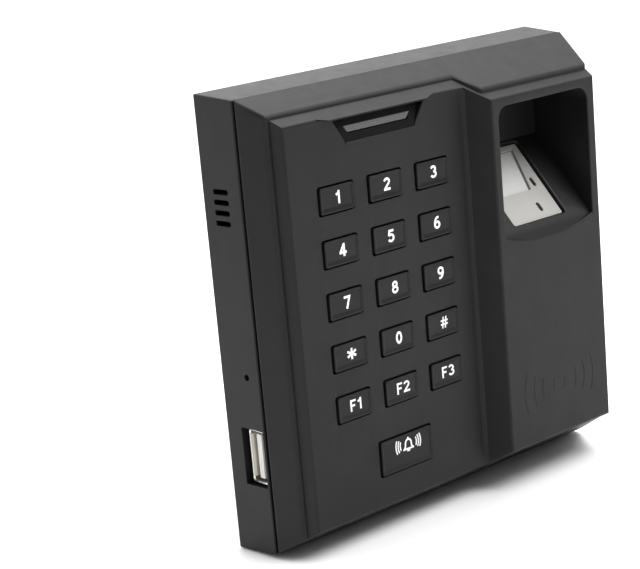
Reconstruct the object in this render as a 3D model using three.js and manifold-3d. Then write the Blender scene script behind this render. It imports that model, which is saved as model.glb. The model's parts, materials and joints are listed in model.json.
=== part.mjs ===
// A wall-mounted access terminal with a keypad, a fingerprint sensor in a deep finger well and a card coil.
//
// Units are millimetres. +X is to the right as seen from the front, +Y goes into the wall and +Z is up.
// The origin is the centre of the wall plate's rear face, so everything lies at negative Y. A "depth" is
// the distance in front of the wall, which is -Y. A "span" is a pair [from, to].

import * as THREE from "three";
import { ConvexGeometry } from "three/addons/geometries/ConvexGeometry.js";
import { mergeVertices } from "three/addons/utils/BufferGeometryUtils.js";
import Module from "manifold-3d";

const wasm = await Module();
wasm.setup();

// ---------------------------------------------------------------- driving dimensions

const GAP = 0.3; // between pieces that touch on the real terminal
const FAR = 80; // safely outside the terminal
const ROUND_SIDES = 16; // facets round a screw head, boss or pillar
const SMALL_SIDES = 10; // facets round the smallest cylinders
const CELL_SIDES = 24; // facets round the coin cell and its holder

// The casing. The two shells meet on a square outline.
const HALF = 55; // half the side of that outline
const DRAFT = 1; // how far each side of the rear shell grows by the time it reaches the wall
const PARTING_DEPTH = 13.3;
const PARTING_GROOVE = 0.4;
const PANEL_DEPTH = 23.7; // face of the keypad panel
const TOWER_DEPTH = 30; // face of the raised sensor tower
const LEDGE_BELOW_FACE = 3; // the ledge round the face, on the panel
const TOWER_LEDGE_BELOW_FACE = 2.7; // and on the tower
const WALL = 2; // front wall thickness

// Depth gained for each millimetre of inset, on the wide bevels between the parting line and the ledge.
const BEVEL_SLOPE = { left: 2.5, right: 2.22, ends: 1.96, bottom: 1.65 };
// The block in front of the ledge: its insets where it leaves the parting plane and at the tower's face.
const BLOCK_INSET = { left: 1.4, right: 3.2, ends: 0.72 };
const BLOCK_INSET_AT_TOWER = { left: 7.5, right: 6.9, ends: 9.8 };
const SHELL_INSET = 2.4; // the inner faces of the front cover lie this far inside its bevels

// The slanted wall between the keypad panel and the tower.
const PANEL_RIGHT = 7;
const FOOT_X = 7.9;
const FOOT_DEPTH = 24.2;
const TOWER_LEFT = 10.7;
const LEDGE_SHIFT = 0.4; // the ledge turns the corner a little before the face does

// The finger well.
const WELL_X = [13, 45.4];
const WELL_TOP = 43;
const WELL_CORNER = 3.3;
const WELL_BACK_DEPTH = 11.5;
const WELL_WALL = 1.6;
const WELL_SIDE_BOTTOM = 10.3;
const WELL_LIP_SAG = 2.7; // the lip is a shallow smile, this much lower in its middle
const RAMP_SLOPE = 1.09; // rise of the ramp for each millimetre towards the wall
const RAMP_FRONT_Z = 9.6; // height of the ramp's plane where it meets the tower's face
const LIP_DEPTH = 28.6; // where the ramp rolls over into the lip

// The sensor, lying in the ramp.
const SENSOR_X = 28.1;
const SENSOR_WIDTH = 18;
const SENSOR_LENGTH = 22.6;
const SENSOR_SUNK = 0.8; // how far its face lies below the ramp
const SENSOR_BELOW = 7; // thickness of its housing
const SENSOR_START_DEPTH = 27.06; // where its lower edge meets the ramp
const SENSOR_GAP = 0.8; // between the housing and the edge of the opening in the ramp
// The rest is in the sensor's own frame: [x, y] across it and up the ramp, and z out of its face.
const WINDOW = { low: 8.7, high: 21.3, leftLow: -6.6, leftHigh: -7.4, rightLow: 4.2, rightHigh: 7.1 };
const WINDOW_SUNK = 0.7;
const WINDOW_THICK = 1.5;
const SENSOR_SLOTS = { at: [[3.05, 3.4], [6.35, 10.7]], size: [1.2, 2.8], deep: 2.5 };
const SENSOR_BOARD = { at: [0, 8.5], size: [17, 14.6], z: [-11.6, -10.4] };
const CAMERA = { at: [-1, 13.6], lensRadius: 2.4, lensFront: -5.4, base: [7, 6.4], baseFront: -8 };
const SENSOR_SCREWS_AT = [[-6.5, 3.5], [6.5, 3.5]];

// The keypad.
const KEY_X = -35.7; // centre of the first column
const KEY_Z = 29.7; // centre of the first row
const KEY_PITCH = { x: 15.37, z: 12.6 };
const KEY_SIZE = [10.3, 6.2];
const BELL_SIZE = [16.8, 8.6];
const BELL_AT = [-20.2, -36.6];
const KEY_CORNER = 0.7;
const KEY_CLEARANCE = 0.35;
const KEY_PROUD = 0.5;
const KEY_CHAMFER = 0.35;
const KEY_FLANGE = 0.9; // how far the flange behind the panel stands out all round
const KEY_FLANGE_THICK = 0.8;
const KEY_TRAVEL = 0.8;

// The status light, in a sloping recess under a brow.
const STATUS_X = -20.4;
const RECESS = { top: 47.55, bottom: 42, halfTop: 14.4, halfBottom: 10.8, floorTopDepth: 22, slack: 0.3 };
const BROW = { x: -21.1, top: 48.72, edge: 48.1, halfTop: 18.6, halfEdge: 15.6, depth: 24.8, root: 23 };
const LENS = { top: 45.7, bottom: 44, halfTop: 10.6, halfBottom: 9.4, depth: 22.75, rearDepth: 19.6 };

// The rear shell and the steel wall plate.
const PLATE = { half: 47, thick: 1.5, corner: 4 };
const TAB = { halfWidth: 7, z: -45.9, depth: 8 }; // the plate's lower tab, which takes the lock screw
const HOOKS = { halfWidth: 5, x: 26, z: 44.5, depth: 5 }; // and its two upper hooks
const WALL_SLOT = [12, 4.4]; // length and width of each screw slot
const WALL_SLOTS_AT = { level: [[-30, 8], [30, 8], [0, 38]], upright: [[-38, -30], [38, -30]] };
const REAR_RECESS_DEPTH = 1.8;
const REAR_WALL_DEPTH = 3.3; // inner face of the rear wall
const SIDE_WALL = 2.2;
const REBATE = 1.1; // thickness of the side wall where it laps the front cover's tongue
const TONGUE = { from: 1.4, to: 2.4, depth: 11.4 };
const PILLAR_RADIUS = { case: 4, board: 3 };
const BOSS_RADIUS = { case: 3, board: 2.2 }; // the front cover's bosses, for its two kinds of screw
const CABLE_WINDOW = { halfWidth: 15, z: [-35, -17] };
const VENTS = { depth: [3.7, 8.7], z: [33.4, 30.9, 28.4, 25.9], height: 1.3 };
const RESET_AT = { depth: 8.8, z: -11.1 };
const PINHOLE_RADIUS = 0.8;
const USB_AT = { depth: 8.7, z: -31.2 };
const USB_CUTOUT = [7.3, 14.4];
const USB_BODY = [5.6, 13.2];
const USB_BODY_DEPTH = 8.9; // the socket sits a little forward in its cut-out
const USB_SHEET = 0.35;
const USB_X = [-54.2, -40.2];
const USB_TONGUE_X = [-53.7, -41];
const USB_BLADE = { ahead: 0.15, thick: 1.8, tall: 11.2 }; // just forward of the socket's middle

// Circuit boards.
const MAIN_BOARD = { x: [-51.5, 38], z: [-38, 38], depth: [3.8, 5.4] };
const KEY_BOARD = { x: [-46, 6], z: [-43, 47], depth: [16.7, 17.9] };
const MAT_DEPTH = [18.2, 19];
const DOME_DEPTH = 19.5;
const ON_BOARD = MAIN_BOARD.depth[1] + GAP; // where a part soldered to the main board starts

// What the main board carries. Each "at" is a centre [x, z], and each size is [width, height].
const CHIP = { at: [-5, 2], size: [14, 14], tall: 1.4 };
const RELAY = { at: [-22, 20], size: [15, 19], front: 15.4 };
const WIRING_HEADER = { x: [-8, 8], size: [12.5, 9], tall: 6, aboveWindow: 1.6, wall: 0.9, deep: 6.5 };
const BOARD_LINK = { at: [-38, -2], header: [4.6, 20], socket: [5.6, 21], meet: 13.4 };
const CELL = { at: [26.4, -9], radius: 10, thick: 3.2, lift: 1.1 };
const CELL_HOLDER = { radius: 11.4, tall: 3.9, wall: 1, floor: 0.8 };
const SPEAKER = { x: [-52.2, -48.4], depth: [4.2, 12.6], z: [20, 39], rim: 1, sunk: 0.8 };
const RESET_SWITCH = { x: [-50.5, -45.5], front: 11.2, tall: 6, hole: { radius: 1.7, to: -49.2 } };
const RESET_PLUNGER = { x: [-52.2, -49.8], radius: 1.3 };
const COIL = { at: [27, -22], size: [26, 34], corner: 5, band: 3, thick: 1.5 };

// Fasteners: shank radius, head radius and head height.
const CASE_SCREW = { shank: 1.3, head: 2.5, headHeight: 1.6 };
const BOARD_SCREW = { shank: 1, head: 2.1, headHeight: 1.3 };
const LOCK_SCREW = { shank: 1.45, head: 2.8, headHeight: 1.2 };
const TINY_SCREW = { shank: 0.7, head: 1.5, headHeight: 1 };
const CASE_SCREW_AT = [[-44, 44], [-44, -44], [44, -44], [3, 44]];
const BOARD_SCREW_AT = [[-36, 33], [32, 33], [32, -33], [-32, -33]];
const KEYPAD_SCREW_AT = [[-44, 30], [-44, -28], [3.9, 30], [3.9, -28]];
const CASE_JOINT_DEPTH = 9; // where a rear pillar meets a front boss
const LOCK_SCREW_DEPTH = 5.2;
const LOCK_HEAD_Z = -55.3;

// ---------------------------------------------------------------- materials

const blackPlastic = () => new THREE.MeshStandardMaterial({ color: 0x2b2a2c, roughness: 0.55, metalness: 0 });
const keyPlastic = () => new THREE.MeshStandardMaterial({ color: 0x2f2e31, roughness: 0.45, metalness: 0 });
const whitePlastic = () => new THREE.MeshStandardMaterial({ color: 0xd9d7d2, roughness: 0.4, metalness: 0 });
const greyRubber = () => new THREE.MeshStandardMaterial({ color: 0x6d6f72, roughness: 0.8, metalness: 0 });
const greenBoard = () => new THREE.MeshStandardMaterial({ color: 0x1f5a35, roughness: 0.5, metalness: 0 });
const blackChip = () => new THREE.MeshStandardMaterial({ color: 0x161618, roughness: 0.6, metalness: 0 });
const blueCase = () => new THREE.MeshStandardMaterial({ color: 0x1d4f9c, roughness: 0.45, metalness: 0 });
const zincSteel = () => new THREE.MeshStandardMaterial({ color: 0xa9abae, roughness: 0.35, metalness: 1 });
const copperWire = () => new THREE.MeshStandardMaterial({ color: 0xb56a3a, roughness: 0.4, metalness: 1 });
const clearGlass = () => new THREE.MeshStandardMaterial({ color: 0xcfd3d4, roughness: 0.1, metalness: 0 });
const smokedLens = () => new THREE.MeshStandardMaterial({ color: 0x4a4b4e, roughness: 0.25, metalness: 0 });
const ledDie = (color) => new THREE.MeshStandardMaterial({ color, roughness: 0.3, metalness: 0 });

// ---------------------------------------------------------------- solids

// A closed three.js geometry, moved by an optional matrix, as a solid that can be joined and cut.
function solid(geometry, place) {
  const plain = geometry.clone();
  if (place) plain.applyMatrix4(place);
  plain.deleteAttribute("normal");
  plain.deleteAttribute("uv");
  const merged = mergeVertices(plain, 1e-3);
  const mesh = new wasm.Mesh({
    numProp: 3,
    vertProperties: merged.attributes.position.array,
    triVerts: new Uint32Array(merged.index.array),
  });
  return new wasm.Manifold(mesh);
}

function join(...solids) {
  return solids.reduce((whole, next) => whole.add(next));
}

function cut(body, ...tools) {
  return tools.reduce((rest, tool) => rest.subtract(tool), body);
}

function geometryOf(body) {
  const mesh = body.getMesh();
  const geometry = new THREE.BufferGeometry();
  geometry.setAttribute("position", new THREE.BufferAttribute(new Float32Array(mesh.vertProperties), 3));
  geometry.setIndex(new THREE.BufferAttribute(new Uint32Array(mesh.triVerts), 1));
  geometry.computeVertexNormals();
  return geometry;
}

const middle = ([from, to]) => (from + to) / 2;
const size = ([from, to]) => to - from;
const around = (centre, width) => [centre - width / 2, centre + width / 2];

// A box over three spans: x, depth and z.
function slab(x, depth, z) {
  const box = new THREE.BoxGeometry(size(x), size(depth), size(z));
  return solid(box.translate(middle(x), -middle(depth), middle(z)));
}

function outline(points) {
  return new THREE.Shape(points.map(([a, b]) => new THREE.Vector2(a, b)));
}

function roundedOutline([width, height], radius, [x, z] = [0, 0]) {
  const [left, right] = around(x, width);
  const [low, high] = around(z, height);
  const shape = new THREE.Shape();
  shape.moveTo(left + radius, low);
  shape.lineTo(right - radius, low);
  shape.absarc(right - radius, low + radius, radius, -Math.PI / 2, 0);
  shape.lineTo(right, high - radius);
  shape.absarc(right - radius, high - radius, radius, 0, Math.PI / 2);
  shape.lineTo(left + radius, high);
  shape.absarc(left + radius, high - radius, radius, Math.PI / 2, Math.PI);
  shape.lineTo(left, low + radius);
  shape.absarc(left + radius, low + radius, radius, Math.PI, 1.5 * Math.PI);
  return shape;
}

// A front-view outline of x and z, filled over a span of depths.
function frontPrism(shape, depth, curveSegments = 2) {
  const body = new THREE.ExtrudeGeometry(shape, { depth: size(depth), bevelEnabled: false, curveSegments });
  return solid(body.rotateX(Math.PI / 2).translate(0, -depth[0], 0));
}

// A plan-view outline of x and depth, filled over a span of heights.
function planPrism(points, z) {
  const shape = outline(points.map(([x, depth]) => [x, -depth]));
  const body = new THREE.ExtrudeGeometry(shape, { depth: size(z), bevelEnabled: false });
  return solid(body.translate(0, 0, z[0]));
}

// A side-view outline of depth and z, filled over a span of x.
function sidePrism(points, x) {
  const shape = outline(points.map(([depth, z]) => [-depth, z]));
  const body = new THREE.ExtrudeGeometry(shape, { depth: size(x), bevelEnabled: false });
  const [alongX, alongY, alongZ] = [0, 1, 2].map((axis) => new THREE.Vector3().setComponent(axis, 1));
  const turned = new THREE.Matrix4().makeBasis(alongY, alongZ, alongX);
  return solid(body, turned.setPosition(x[0], 0, 0));
}

// A round bar across the front view's plane at [x, z], over a span of depths.
function pin([x, z], depth, radius, sides = ROUND_SIDES) {
  const bar = new THREE.CylinderGeometry(radius, radius, size(depth), sides);
  return solid(bar.translate(x, -middle(depth), z));
}

// A block with four sloping sides between two depths. Each end gives its depth and its insets.
// `ends` is the inset of the upper side, and of the lower one unless `bottom` gives its own.
function taperedBlock(...ends) {
  const corners = ends.flatMap(({ depth, left, right, ends: inset, bottom = inset }) => {
    const xs = [-HALF + left, HALF - right];
    const zs = [-HALF + bottom, HALF - inset];
    return xs.flatMap((x) => zs.map((z) => new THREE.Vector3(x, -depth, z)));
  });
  return solid(new ConvexGeometry(corners));
}

function screw([x, z], headDepth, tipDepth, { shank, head, headHeight }) {
  const towardsTip = Math.sign(tipDepth - headDepth);
  const neck = headDepth + towardsTip * headHeight;
  const sorted = (a, b) => [Math.min(a, b), Math.max(a, b)];
  const overlap = towardsTip * headHeight * 0.5;
  const body = join(
    pin([x, z], sorted(headDepth, neck), head),
    pin([x, z], sorted(neck - overlap, tipDepth), shank, SMALL_SIDES),
  );
  const slotDepth = sorted(headDepth - towardsTip, headDepth + overlap);
  const slot = slab(around(x, head * 1.3), slotDepth, around(z, 0.6));
  return cut(body, slot);
}

// ---------------------------------------------------------------- the scene

const terminal = new THREE.Group();

function place(name, body, material, parent = terminal) {
  const mesh = new THREE.Mesh(geometryOf(body), material);
  mesh.name = name;
  parent.add(mesh);
  return mesh;
}

// The sensor's own frame: x across, y up the ramp and z out of the sensor's face.
const rampAngle = Math.atan(RAMP_SLOPE);
const sensorFrame = new THREE.Group();
sensorFrame.rotation.x = rampAngle;
sensorFrame.position.set(
  SENSOR_X,
  -SENSOR_START_DEPTH,
  RAMP_FRONT_Z + RAMP_SLOPE * (TOWER_DEPTH - SENSOR_START_DEPTH) - SENSOR_SUNK / Math.cos(rampAngle),
);
sensorFrame.updateMatrixWorld(true);
terminal.add(sensorFrame);

function keyPositions() {
  const names = ["1", "2", "3", "4", "5", "6", "7", "8", "9", "star", "0", "hash", "f1", "f2", "f3"];
  const grid = names.map((name, i) => ({
    name: "key_" + name,
    at: [KEY_X + (i % 3) * KEY_PITCH.x, KEY_Z - Math.floor(i / 3) * KEY_PITCH.z],
    size: KEY_SIZE,
  }));
  return [...grid, { name: "key_bell", at: BELL_AT, size: BELL_SIZE }];
}
const keys = keyPositions();
const grown = ([width, height], by) => [width + 2 * by, height + 2 * by];

// ---------------------------------------------------------------- front cover

const bevelInset = (side, depth) => (depth - PARTING_DEPTH) / BEVEL_SLOPE[side];

// The insets of the wide bevels at one depth, plus an offset that moves all four faces inwards.
function bevelsAt(depth, offset = 0) {
  return {
    depth,
    left: bevelInset("left", depth) + offset,
    right: bevelInset("right", depth) + offset,
    ends: bevelInset("ends", depth) + offset,
    bottom: bevelInset("bottom", depth) + offset,
  };
}

// The face seen in plan: keypad panel, foot, slanted wall and tower. Shifted, it also gives the ledge.
function facePlan(panelDepth, towerDepth, shift) {
  const foot = panelDepth + (FOOT_DEPTH - PANEL_DEPTH);
  return [
    [-FAR, PARTING_DEPTH],
    [-FAR, panelDepth],
    [PANEL_RIGHT - shift, panelDepth],
    [PANEL_RIGHT + 0.1 - shift, foot],
    [FOOT_X - shift, foot],
    [TOWER_LEFT - shift, towerDepth],
    [FAR, towerDepth],
    [FAR, PARTING_DEPTH],
  ];
}

function coverOutside() {
  const across = [-FAR, FAR];
  const towerLedge = TOWER_DEPTH - TOWER_LEDGE_BELOW_FACE;
  const bevels = taperedBlock(bevelsAt(PARTING_DEPTH), bevelsAt(TOWER_DEPTH));
  const behindLedge = planPrism(facePlan(PANEL_DEPTH - LEDGE_BELOW_FACE, towerLedge, LEDGE_SHIFT), across);
  const block = taperedBlock(
    { depth: PARTING_DEPTH, ...BLOCK_INSET },
    { depth: TOWER_DEPTH, ...BLOCK_INSET_AT_TOWER },
  );
  const face = planPrism(facePlan(PANEL_DEPTH, TOWER_DEPTH, 0), across);
  return join(bevels.intersect(behindLedge), block.intersect(face), brow());
}

// The brow carries the slope of the block's upper side on past the panel's face.
function brow() {
  const { x, top, edge, halfTop, halfEdge, depth, root } = BROW;
  const corners = [-1, 1].flatMap((side) => [
    new THREE.Vector3(x + side * halfTop, -root, top),
    new THREE.Vector3(x + side * halfTop, -PANEL_DEPTH, top),
    new THREE.Vector3(x + side * halfEdge, -depth, edge),
    new THREE.Vector3(x + side * halfEdge, -root, RECESS.top),
  ]);
  return solid(new ConvexGeometry(corners));
}

function coverInside() {
  const bevels = taperedBlock(
    bevelsAt(PARTING_DEPTH - 1, SHELL_INSET),
    bevelsAt(TOWER_DEPTH, SHELL_INSET),
  );
  const panelBack = PANEL_DEPTH - WALL;
  const towerBack = TOWER_DEPTH - WALL;
  const lean = (TOWER_LEFT - FOOT_X) / (TOWER_DEPTH - FOOT_DEPTH);
  const wallX = (depth) => TOWER_LEFT + WALL * 1.1 - lean * (TOWER_DEPTH - depth);
  const plan = planPrism(
    [
      [-FAR, PARTING_DEPTH - 1],
      [-FAR, panelBack],
      [wallX(panelBack), panelBack],
      [wallX(towerBack), towerBack],
      [FAR, towerBack],
      [FAR, PARTING_DEPTH - 1],
    ],
    [-FAR, FAR],
  );
  return bevels.intersect(plan);
}

// The tongue that laps inside the rear shell's rim, cleared where the USB socket passes it.
function coverTongue() {
  const ring = (inset, from) => taperedBlock(
    { depth: from, left: inset, right: inset, ends: inset },
    { depth: PARTING_DEPTH + 0.6, left: inset, right: inset, ends: inset },
  );
  const clearance = slab(
    [-FAR, -HALF + 6],
    [0, PARTING_DEPTH - PARTING_GROOVE],
    around(USB_AT.z, USB_CUTOUT[1] + 1.2),
  );
  return cut(ring(TONGUE.from, TONGUE.depth), ring(TONGUE.to, TONGUE.depth - 1), clearance);
}

// The well's opening in front view: round upper corners and a lip that sags like a smile.
function wellOutline() {
  const [left, right] = WELL_X;
  const shape = new THREE.Shape();
  shape.moveTo(left, WELL_SIDE_BOTTOM);
  shape.quadraticCurveTo(middle(WELL_X), WELL_SIDE_BOTTOM - 2 * WELL_LIP_SAG, right, WELL_SIDE_BOTTOM);
  shape.lineTo(right, WELL_TOP - WELL_CORNER);
  shape.absarc(right - WELL_CORNER, WELL_TOP - WELL_CORNER, WELL_CORNER, 0, Math.PI / 2);
  shape.lineTo(left + WELL_CORNER, WELL_TOP);
  shape.absarc(left + WELL_CORNER, WELL_TOP - WELL_CORNER, WELL_CORNER, Math.PI / 2, Math.PI);
  return shape;
}

const rampZ = (depth) => RAMP_FRONT_Z + RAMP_SLOPE * (TOWER_DEPTH - depth);

function wellHollow() {
  const opening = frontPrism(wellOutline(), [WELL_BACK_DEPTH, TOWER_DEPTH + 1], 8);
  const lipZ = WELL_SIDE_BOTTOM - WELL_LIP_SAG;
  const lipFall = (rampZ(LIP_DEPTH) - lipZ) / (TOWER_DEPTH - LIP_DEPTH);
  const side = sidePrism(
    [
      [TOWER_DEPTH + 1, lipZ - lipFall],
      [LIP_DEPTH, rampZ(LIP_DEPTH)],
      [WELL_BACK_DEPTH, rampZ(WELL_BACK_DEPTH)],
      [WELL_BACK_DEPTH, WELL_TOP],
      [TOWER_DEPTH + 1, WELL_TOP],
    ],
    WELL_X,
  );
  return opening.intersect(side);
}

function wellWalls() {
  const back = WELL_BACK_DEPTH - WELL_WALL;
  const under = 2.5; // the ramp's thickness, measured straight down
  const front = TOWER_DEPTH - 0.5;
  return sidePrism(
    [
      [front, RAMP_FRONT_Z - under - 2.4],
      [LIP_DEPTH - 1.8, rampZ(LIP_DEPTH - 1.8) - under],
      [back, rampZ(back) - under],
      [back, WELL_TOP + WELL_WALL],
      [front, WELL_TOP + WELL_WALL],
    ],
    [WELL_X[0] - WELL_WALL, WELL_X[1] + WELL_WALL],
  );
}

// The opening in the ramp through which the sensor's housing shows.
function sensorOpening() {
  const box = new THREE.BoxGeometry(SENSOR_WIDTH + 2 * SENSOR_GAP, SENSOR_LENGTH + 2 * SENSOR_GAP, 12);
  box.translate(0, SENSOR_LENGTH / 2, 0);
  return solid(box, sensorFrame.matrixWorld);
}

function statusRecess() {
  const { top, bottom, halfTop, halfBottom, floorTopDepth, slack } = RECESS;
  const front = frontPrism(
    outline([
      [STATUS_X - halfBottom, bottom],
      [STATUS_X + halfBottom, bottom],
      [STATUS_X + halfTop, top],
      [STATUS_X - halfTop, top],
    ]),
    [floorTopDepth - 1, PANEL_DEPTH + 1],
  );
  const floor = sidePrism(
    [
      [PANEL_DEPTH + slack, bottom - 1],
      [PANEL_DEPTH, bottom],
      [floorTopDepth, top],
      [PANEL_DEPTH + 2, top],
    ],
    around(STATUS_X, 2 * halfTop + 2),
  );
  return front.intersect(floor);
}

const lensOutline = (grow) => outline([
  [STATUS_X - LENS.halfBottom - grow, LENS.bottom - grow],
  [STATUS_X + LENS.halfBottom + grow, LENS.bottom - grow],
  [STATUS_X + LENS.halfTop + grow, LENS.top + grow],
  [STATUS_X - LENS.halfTop - grow, LENS.top + grow],
]);

// The wall is thicker behind the recess, so that the light guide has a sleeve.
function recessBacking() {
  const panelBack = PANEL_DEPTH - WALL;
  return slab(around(STATUS_X, 30), [LENS.rearDepth + 0.4, panelBack + 0.5], [41.5, RECESS.top + 0.4]);
}

const isOnTower = ([x]) => x > TOWER_LEFT;

function coverBosses() {
  const joint = CASE_JOINT_DEPTH + GAP;
  const caseBosses = CASE_SCREW_AT.map((at) => {
    const faceBack = (isOnTower(at) ? TOWER_DEPTH : PANEL_DEPTH) - WALL;
    return pin(at, [joint, faceBack + 0.5], BOSS_RADIUS.case);
  });
  const boardBosses = KEYPAD_SCREW_AT.map((at) => (
    pin(at, [KEY_BOARD.depth[1] + GAP, PANEL_DEPTH - WALL + 0.5], BOSS_RADIUS.board)
  ));
  return join(...caseBosses, ...boardBosses);
}

function pilotHoles() {
  const caseHoles = CASE_SCREW_AT.map((at) => (
    pin(at, [0, CASE_JOINT_DEPTH + 9], CASE_SCREW.shank + 0.15, SMALL_SIDES)
  ));
  const boardHoles = KEYPAD_SCREW_AT.map((at) => (
    pin(at, [0, PANEL_DEPTH - WALL - 0.2], BOARD_SCREW.shank + 0.15, SMALL_SIDES)
  ));
  return join(...caseHoles, ...boardHoles);
}

function keyHoles() {
  const hole = ({ at, size: cap }) => roundedOutline(grown(cap, KEY_CLEARANCE), KEY_CORNER + 0.2, at);
  return keys.map((key) => frontPrism(hole(key), [PANEL_DEPTH - WALL - 1, FAR]));
}

// The room inside the rear shell that the front cover's own features may use.
function roomBehindParting() {
  const inset = SIDE_WALL + GAP;
  return taperedBlock(
    { depth: CASE_JOINT_DEPTH + GAP, left: inset, right: inset, ends: inset },
    { depth: PARTING_DEPTH + 0.5, left: inset, right: inset, ends: inset },
  );
}

function frontCover() {
  const outside = coverOutside();
  const fixtures = join(wellWalls(), coverBosses()).intersect(join(outside, roomBehindParting()));
  return cut(
    join(cut(outside, coverInside()), coverTongue(), recessBacking(), fixtures),
    wellHollow(),
    sensorOpening(),
    statusRecess(),
    frontPrism(lensOutline(0.2), [LENS.rearDepth - 1, PANEL_DEPTH + 1]),
    pilotHoles(),
    ...keyHoles(),
  );
}

// ---------------------------------------------------------------- rear shell

function plateOutline(grow) {
  const side = 2 * (PLATE.half + grow);
  return roundedOutline([side, side], PLATE.corner);
}

function plateSlots(grow) {
  const lower = slab(around(0, 2 * (TAB.halfWidth + grow)), [-1, REAR_WALL_DEPTH + 1], tabSpan(TAB.z, grow));
  const upper = [-1, 1].map((side) => slab(
    around(side * HOOKS.x, 2 * (HOOKS.halfWidth + grow)),
    [-1, REAR_WALL_DEPTH + 1],
    tabSpan(HOOKS.z, grow),
  ));
  return join(lower, ...upper);
}

function tabSpan(z, grow) {
  return around(z, PLATE.thick + 2 * grow);
}

function rearBody() {
  const rim = PARTING_DEPTH - PARTING_GROOVE;
  const square = (depth, inset) => ({ depth, left: inset, right: inset, ends: inset });
  const outside = taperedBlock(square(0, -DRAFT), square(rim, 0));
  const inside = taperedBlock(square(REAR_WALL_DEPTH, SIDE_WALL), square(PARTING_DEPTH + 1, SIDE_WALL));
  const rebate = taperedBlock(square(TONGUE.depth - GAP, REBATE), square(PARTING_DEPTH + 1, REBATE));
  const plateRecess = frontPrism(plateOutline(GAP), [-1, REAR_RECESS_DEPTH], 3);
  return cut(outside, inside, rebate, plateRecess);
}

function rearPillars() {
  const pillars = CASE_SCREW_AT.map((at) => (
    pin(at, [REAR_RECESS_DEPTH, CASE_JOINT_DEPTH], PILLAR_RADIUS.case)
  ));
  const stands = BOARD_SCREW_AT.map((at) => (
    pin(at, [REAR_RECESS_DEPTH, MAIN_BOARD.depth[0] - GAP], PILLAR_RADIUS.board)
  ));
  return join(...pillars, ...stands);
}

function rearHoles() {
  const caseHoles = CASE_SCREW_AT.flatMap((at) => [
    pin(at, [0, CASE_JOINT_DEPTH + 1], CASE_SCREW.shank + 0.3, SMALL_SIDES),
    pin(at, [0, REAR_RECESS_DEPTH + CASE_SCREW.headHeight + 0.6], CASE_SCREW.head + 0.3),
  ]);
  const boardHoles = BOARD_SCREW_AT.map((at) => (
    pin(at, [REAR_RECESS_DEPTH + 0.25, FAR], BOARD_SCREW.shank + 0.15, SMALL_SIDES)
  ));
  return join(...caseHoles, ...boardHoles);
}

// Openings in the left wall: sound slots, the reset pinhole and the USB cut-out.
function leftOpenings() {
  const x = [-HALF - 3, -HALF + SIDE_WALL + 1];
  const slots = VENTS.z.map((z) => slab(x, VENTS.depth, around(z, VENTS.height)));
  const usb = slab(x, around(USB_AT.depth, USB_CUTOUT[0]), around(USB_AT.z, USB_CUTOUT[1]));
  return join(...slots, usb, resetPin(x, PINHOLE_RADIUS));
}

// A round bar along x on the reset button's axis.
function resetPin(x, radius) {
  const bar = new THREE.CylinderGeometry(radius, radius, size(x), SMALL_SIDES).rotateZ(Math.PI / 2);
  return solid(bar.translate(middle(x), -RESET_AT.depth, RESET_AT.z));
}

function uprightPin(depth, z, radius, sides = ROUND_SIDES) {
  const bar = new THREE.CylinderGeometry(radius, radius, size(z), sides).rotateX(Math.PI / 2);
  return solid(bar.translate(0, -depth, middle(z)));
}

function lockScrewHole() {
  const seat = LOCK_HEAD_Z + LOCK_SCREW.headHeight + 0.2;
  return join(
    uprightPin(LOCK_SCREW_DEPTH, [-FAR, seat], LOCK_SCREW.head + 0.3),
    uprightPin(LOCK_SCREW_DEPTH, [-FAR, -HALF + SIDE_WALL + 1], LOCK_SCREW.shank + 0.3, SMALL_SIDES),
  );
}

function cableWindow(grow, depth) {
  const { halfWidth, z } = CABLE_WINDOW;
  return slab(around(0, 2 * (halfWidth + grow)), depth, [z[0] - grow, z[1] + grow]);
}

function rearShell() {
  return cut(
    join(rearBody(), rearPillars()),
    rearHoles(),
    leftOpenings(),
    lockScrewHole(),
    plateSlots(0.5),
    cableWindow(0, [0, REAR_WALL_DEPTH + 1]),
  );
}

// ---------------------------------------------------------------- wall plate

// Screw slots for a wall box.
function wallSlots() {
  const [length, width] = WALL_SLOT;
  const slots = (shape, centres) => centres.map((at) => (
    frontPrism(roundedOutline(shape, width / 2, at), [-1, PLATE.thick + 1], 3)
  ));
  const level = slots([length, width], WALL_SLOTS_AT.level);
  const upright = slots([width, length], WALL_SLOTS_AT.upright);
  return join(...level, ...upright);
}

function wallPlate() {
  const sheet = frontPrism(plateOutline(0), [0, PLATE.thick], 3);
  const tab = slab(around(0, 2 * TAB.halfWidth), [0, TAB.depth], tabSpan(TAB.z, 0));
  const hooks = [-1, 1].map((side) => (
    slab(around(side * HOOKS.x, 2 * HOOKS.halfWidth), [0, HOOKS.depth], tabSpan(HOOKS.z, 0))
  ));
  const screwHole = uprightPin(
    LOCK_SCREW_DEPTH,
    tabSpan(TAB.z, 1),
    LOCK_SCREW.shank + 0.2,
    SMALL_SIDES,
  );
  return cut(join(sheet, tab, ...hooks), wallSlots(), cableWindow(1.5, [-1, PLATE.thick + 1]), screwHole);
}

function lockScrew() {
  const headTop = LOCK_HEAD_Z + LOCK_SCREW.headHeight;
  const head = uprightPin(LOCK_SCREW_DEPTH, [LOCK_HEAD_Z, headTop], LOCK_SCREW.head);
  const shank = uprightPin(LOCK_SCREW_DEPTH, [headTop - 0.5, TAB.z + 2], LOCK_SCREW.shank, SMALL_SIDES);
  const slot = slab(
    around(0, LOCK_SCREW.head * 1.3),
    around(LOCK_SCREW_DEPTH, 0.7),
    [LOCK_HEAD_Z - 1, LOCK_HEAD_Z + 0.6],
  );
  return cut(join(head, shank), slot);
}

// ---------------------------------------------------------------- circuit boards and what they carry

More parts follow.
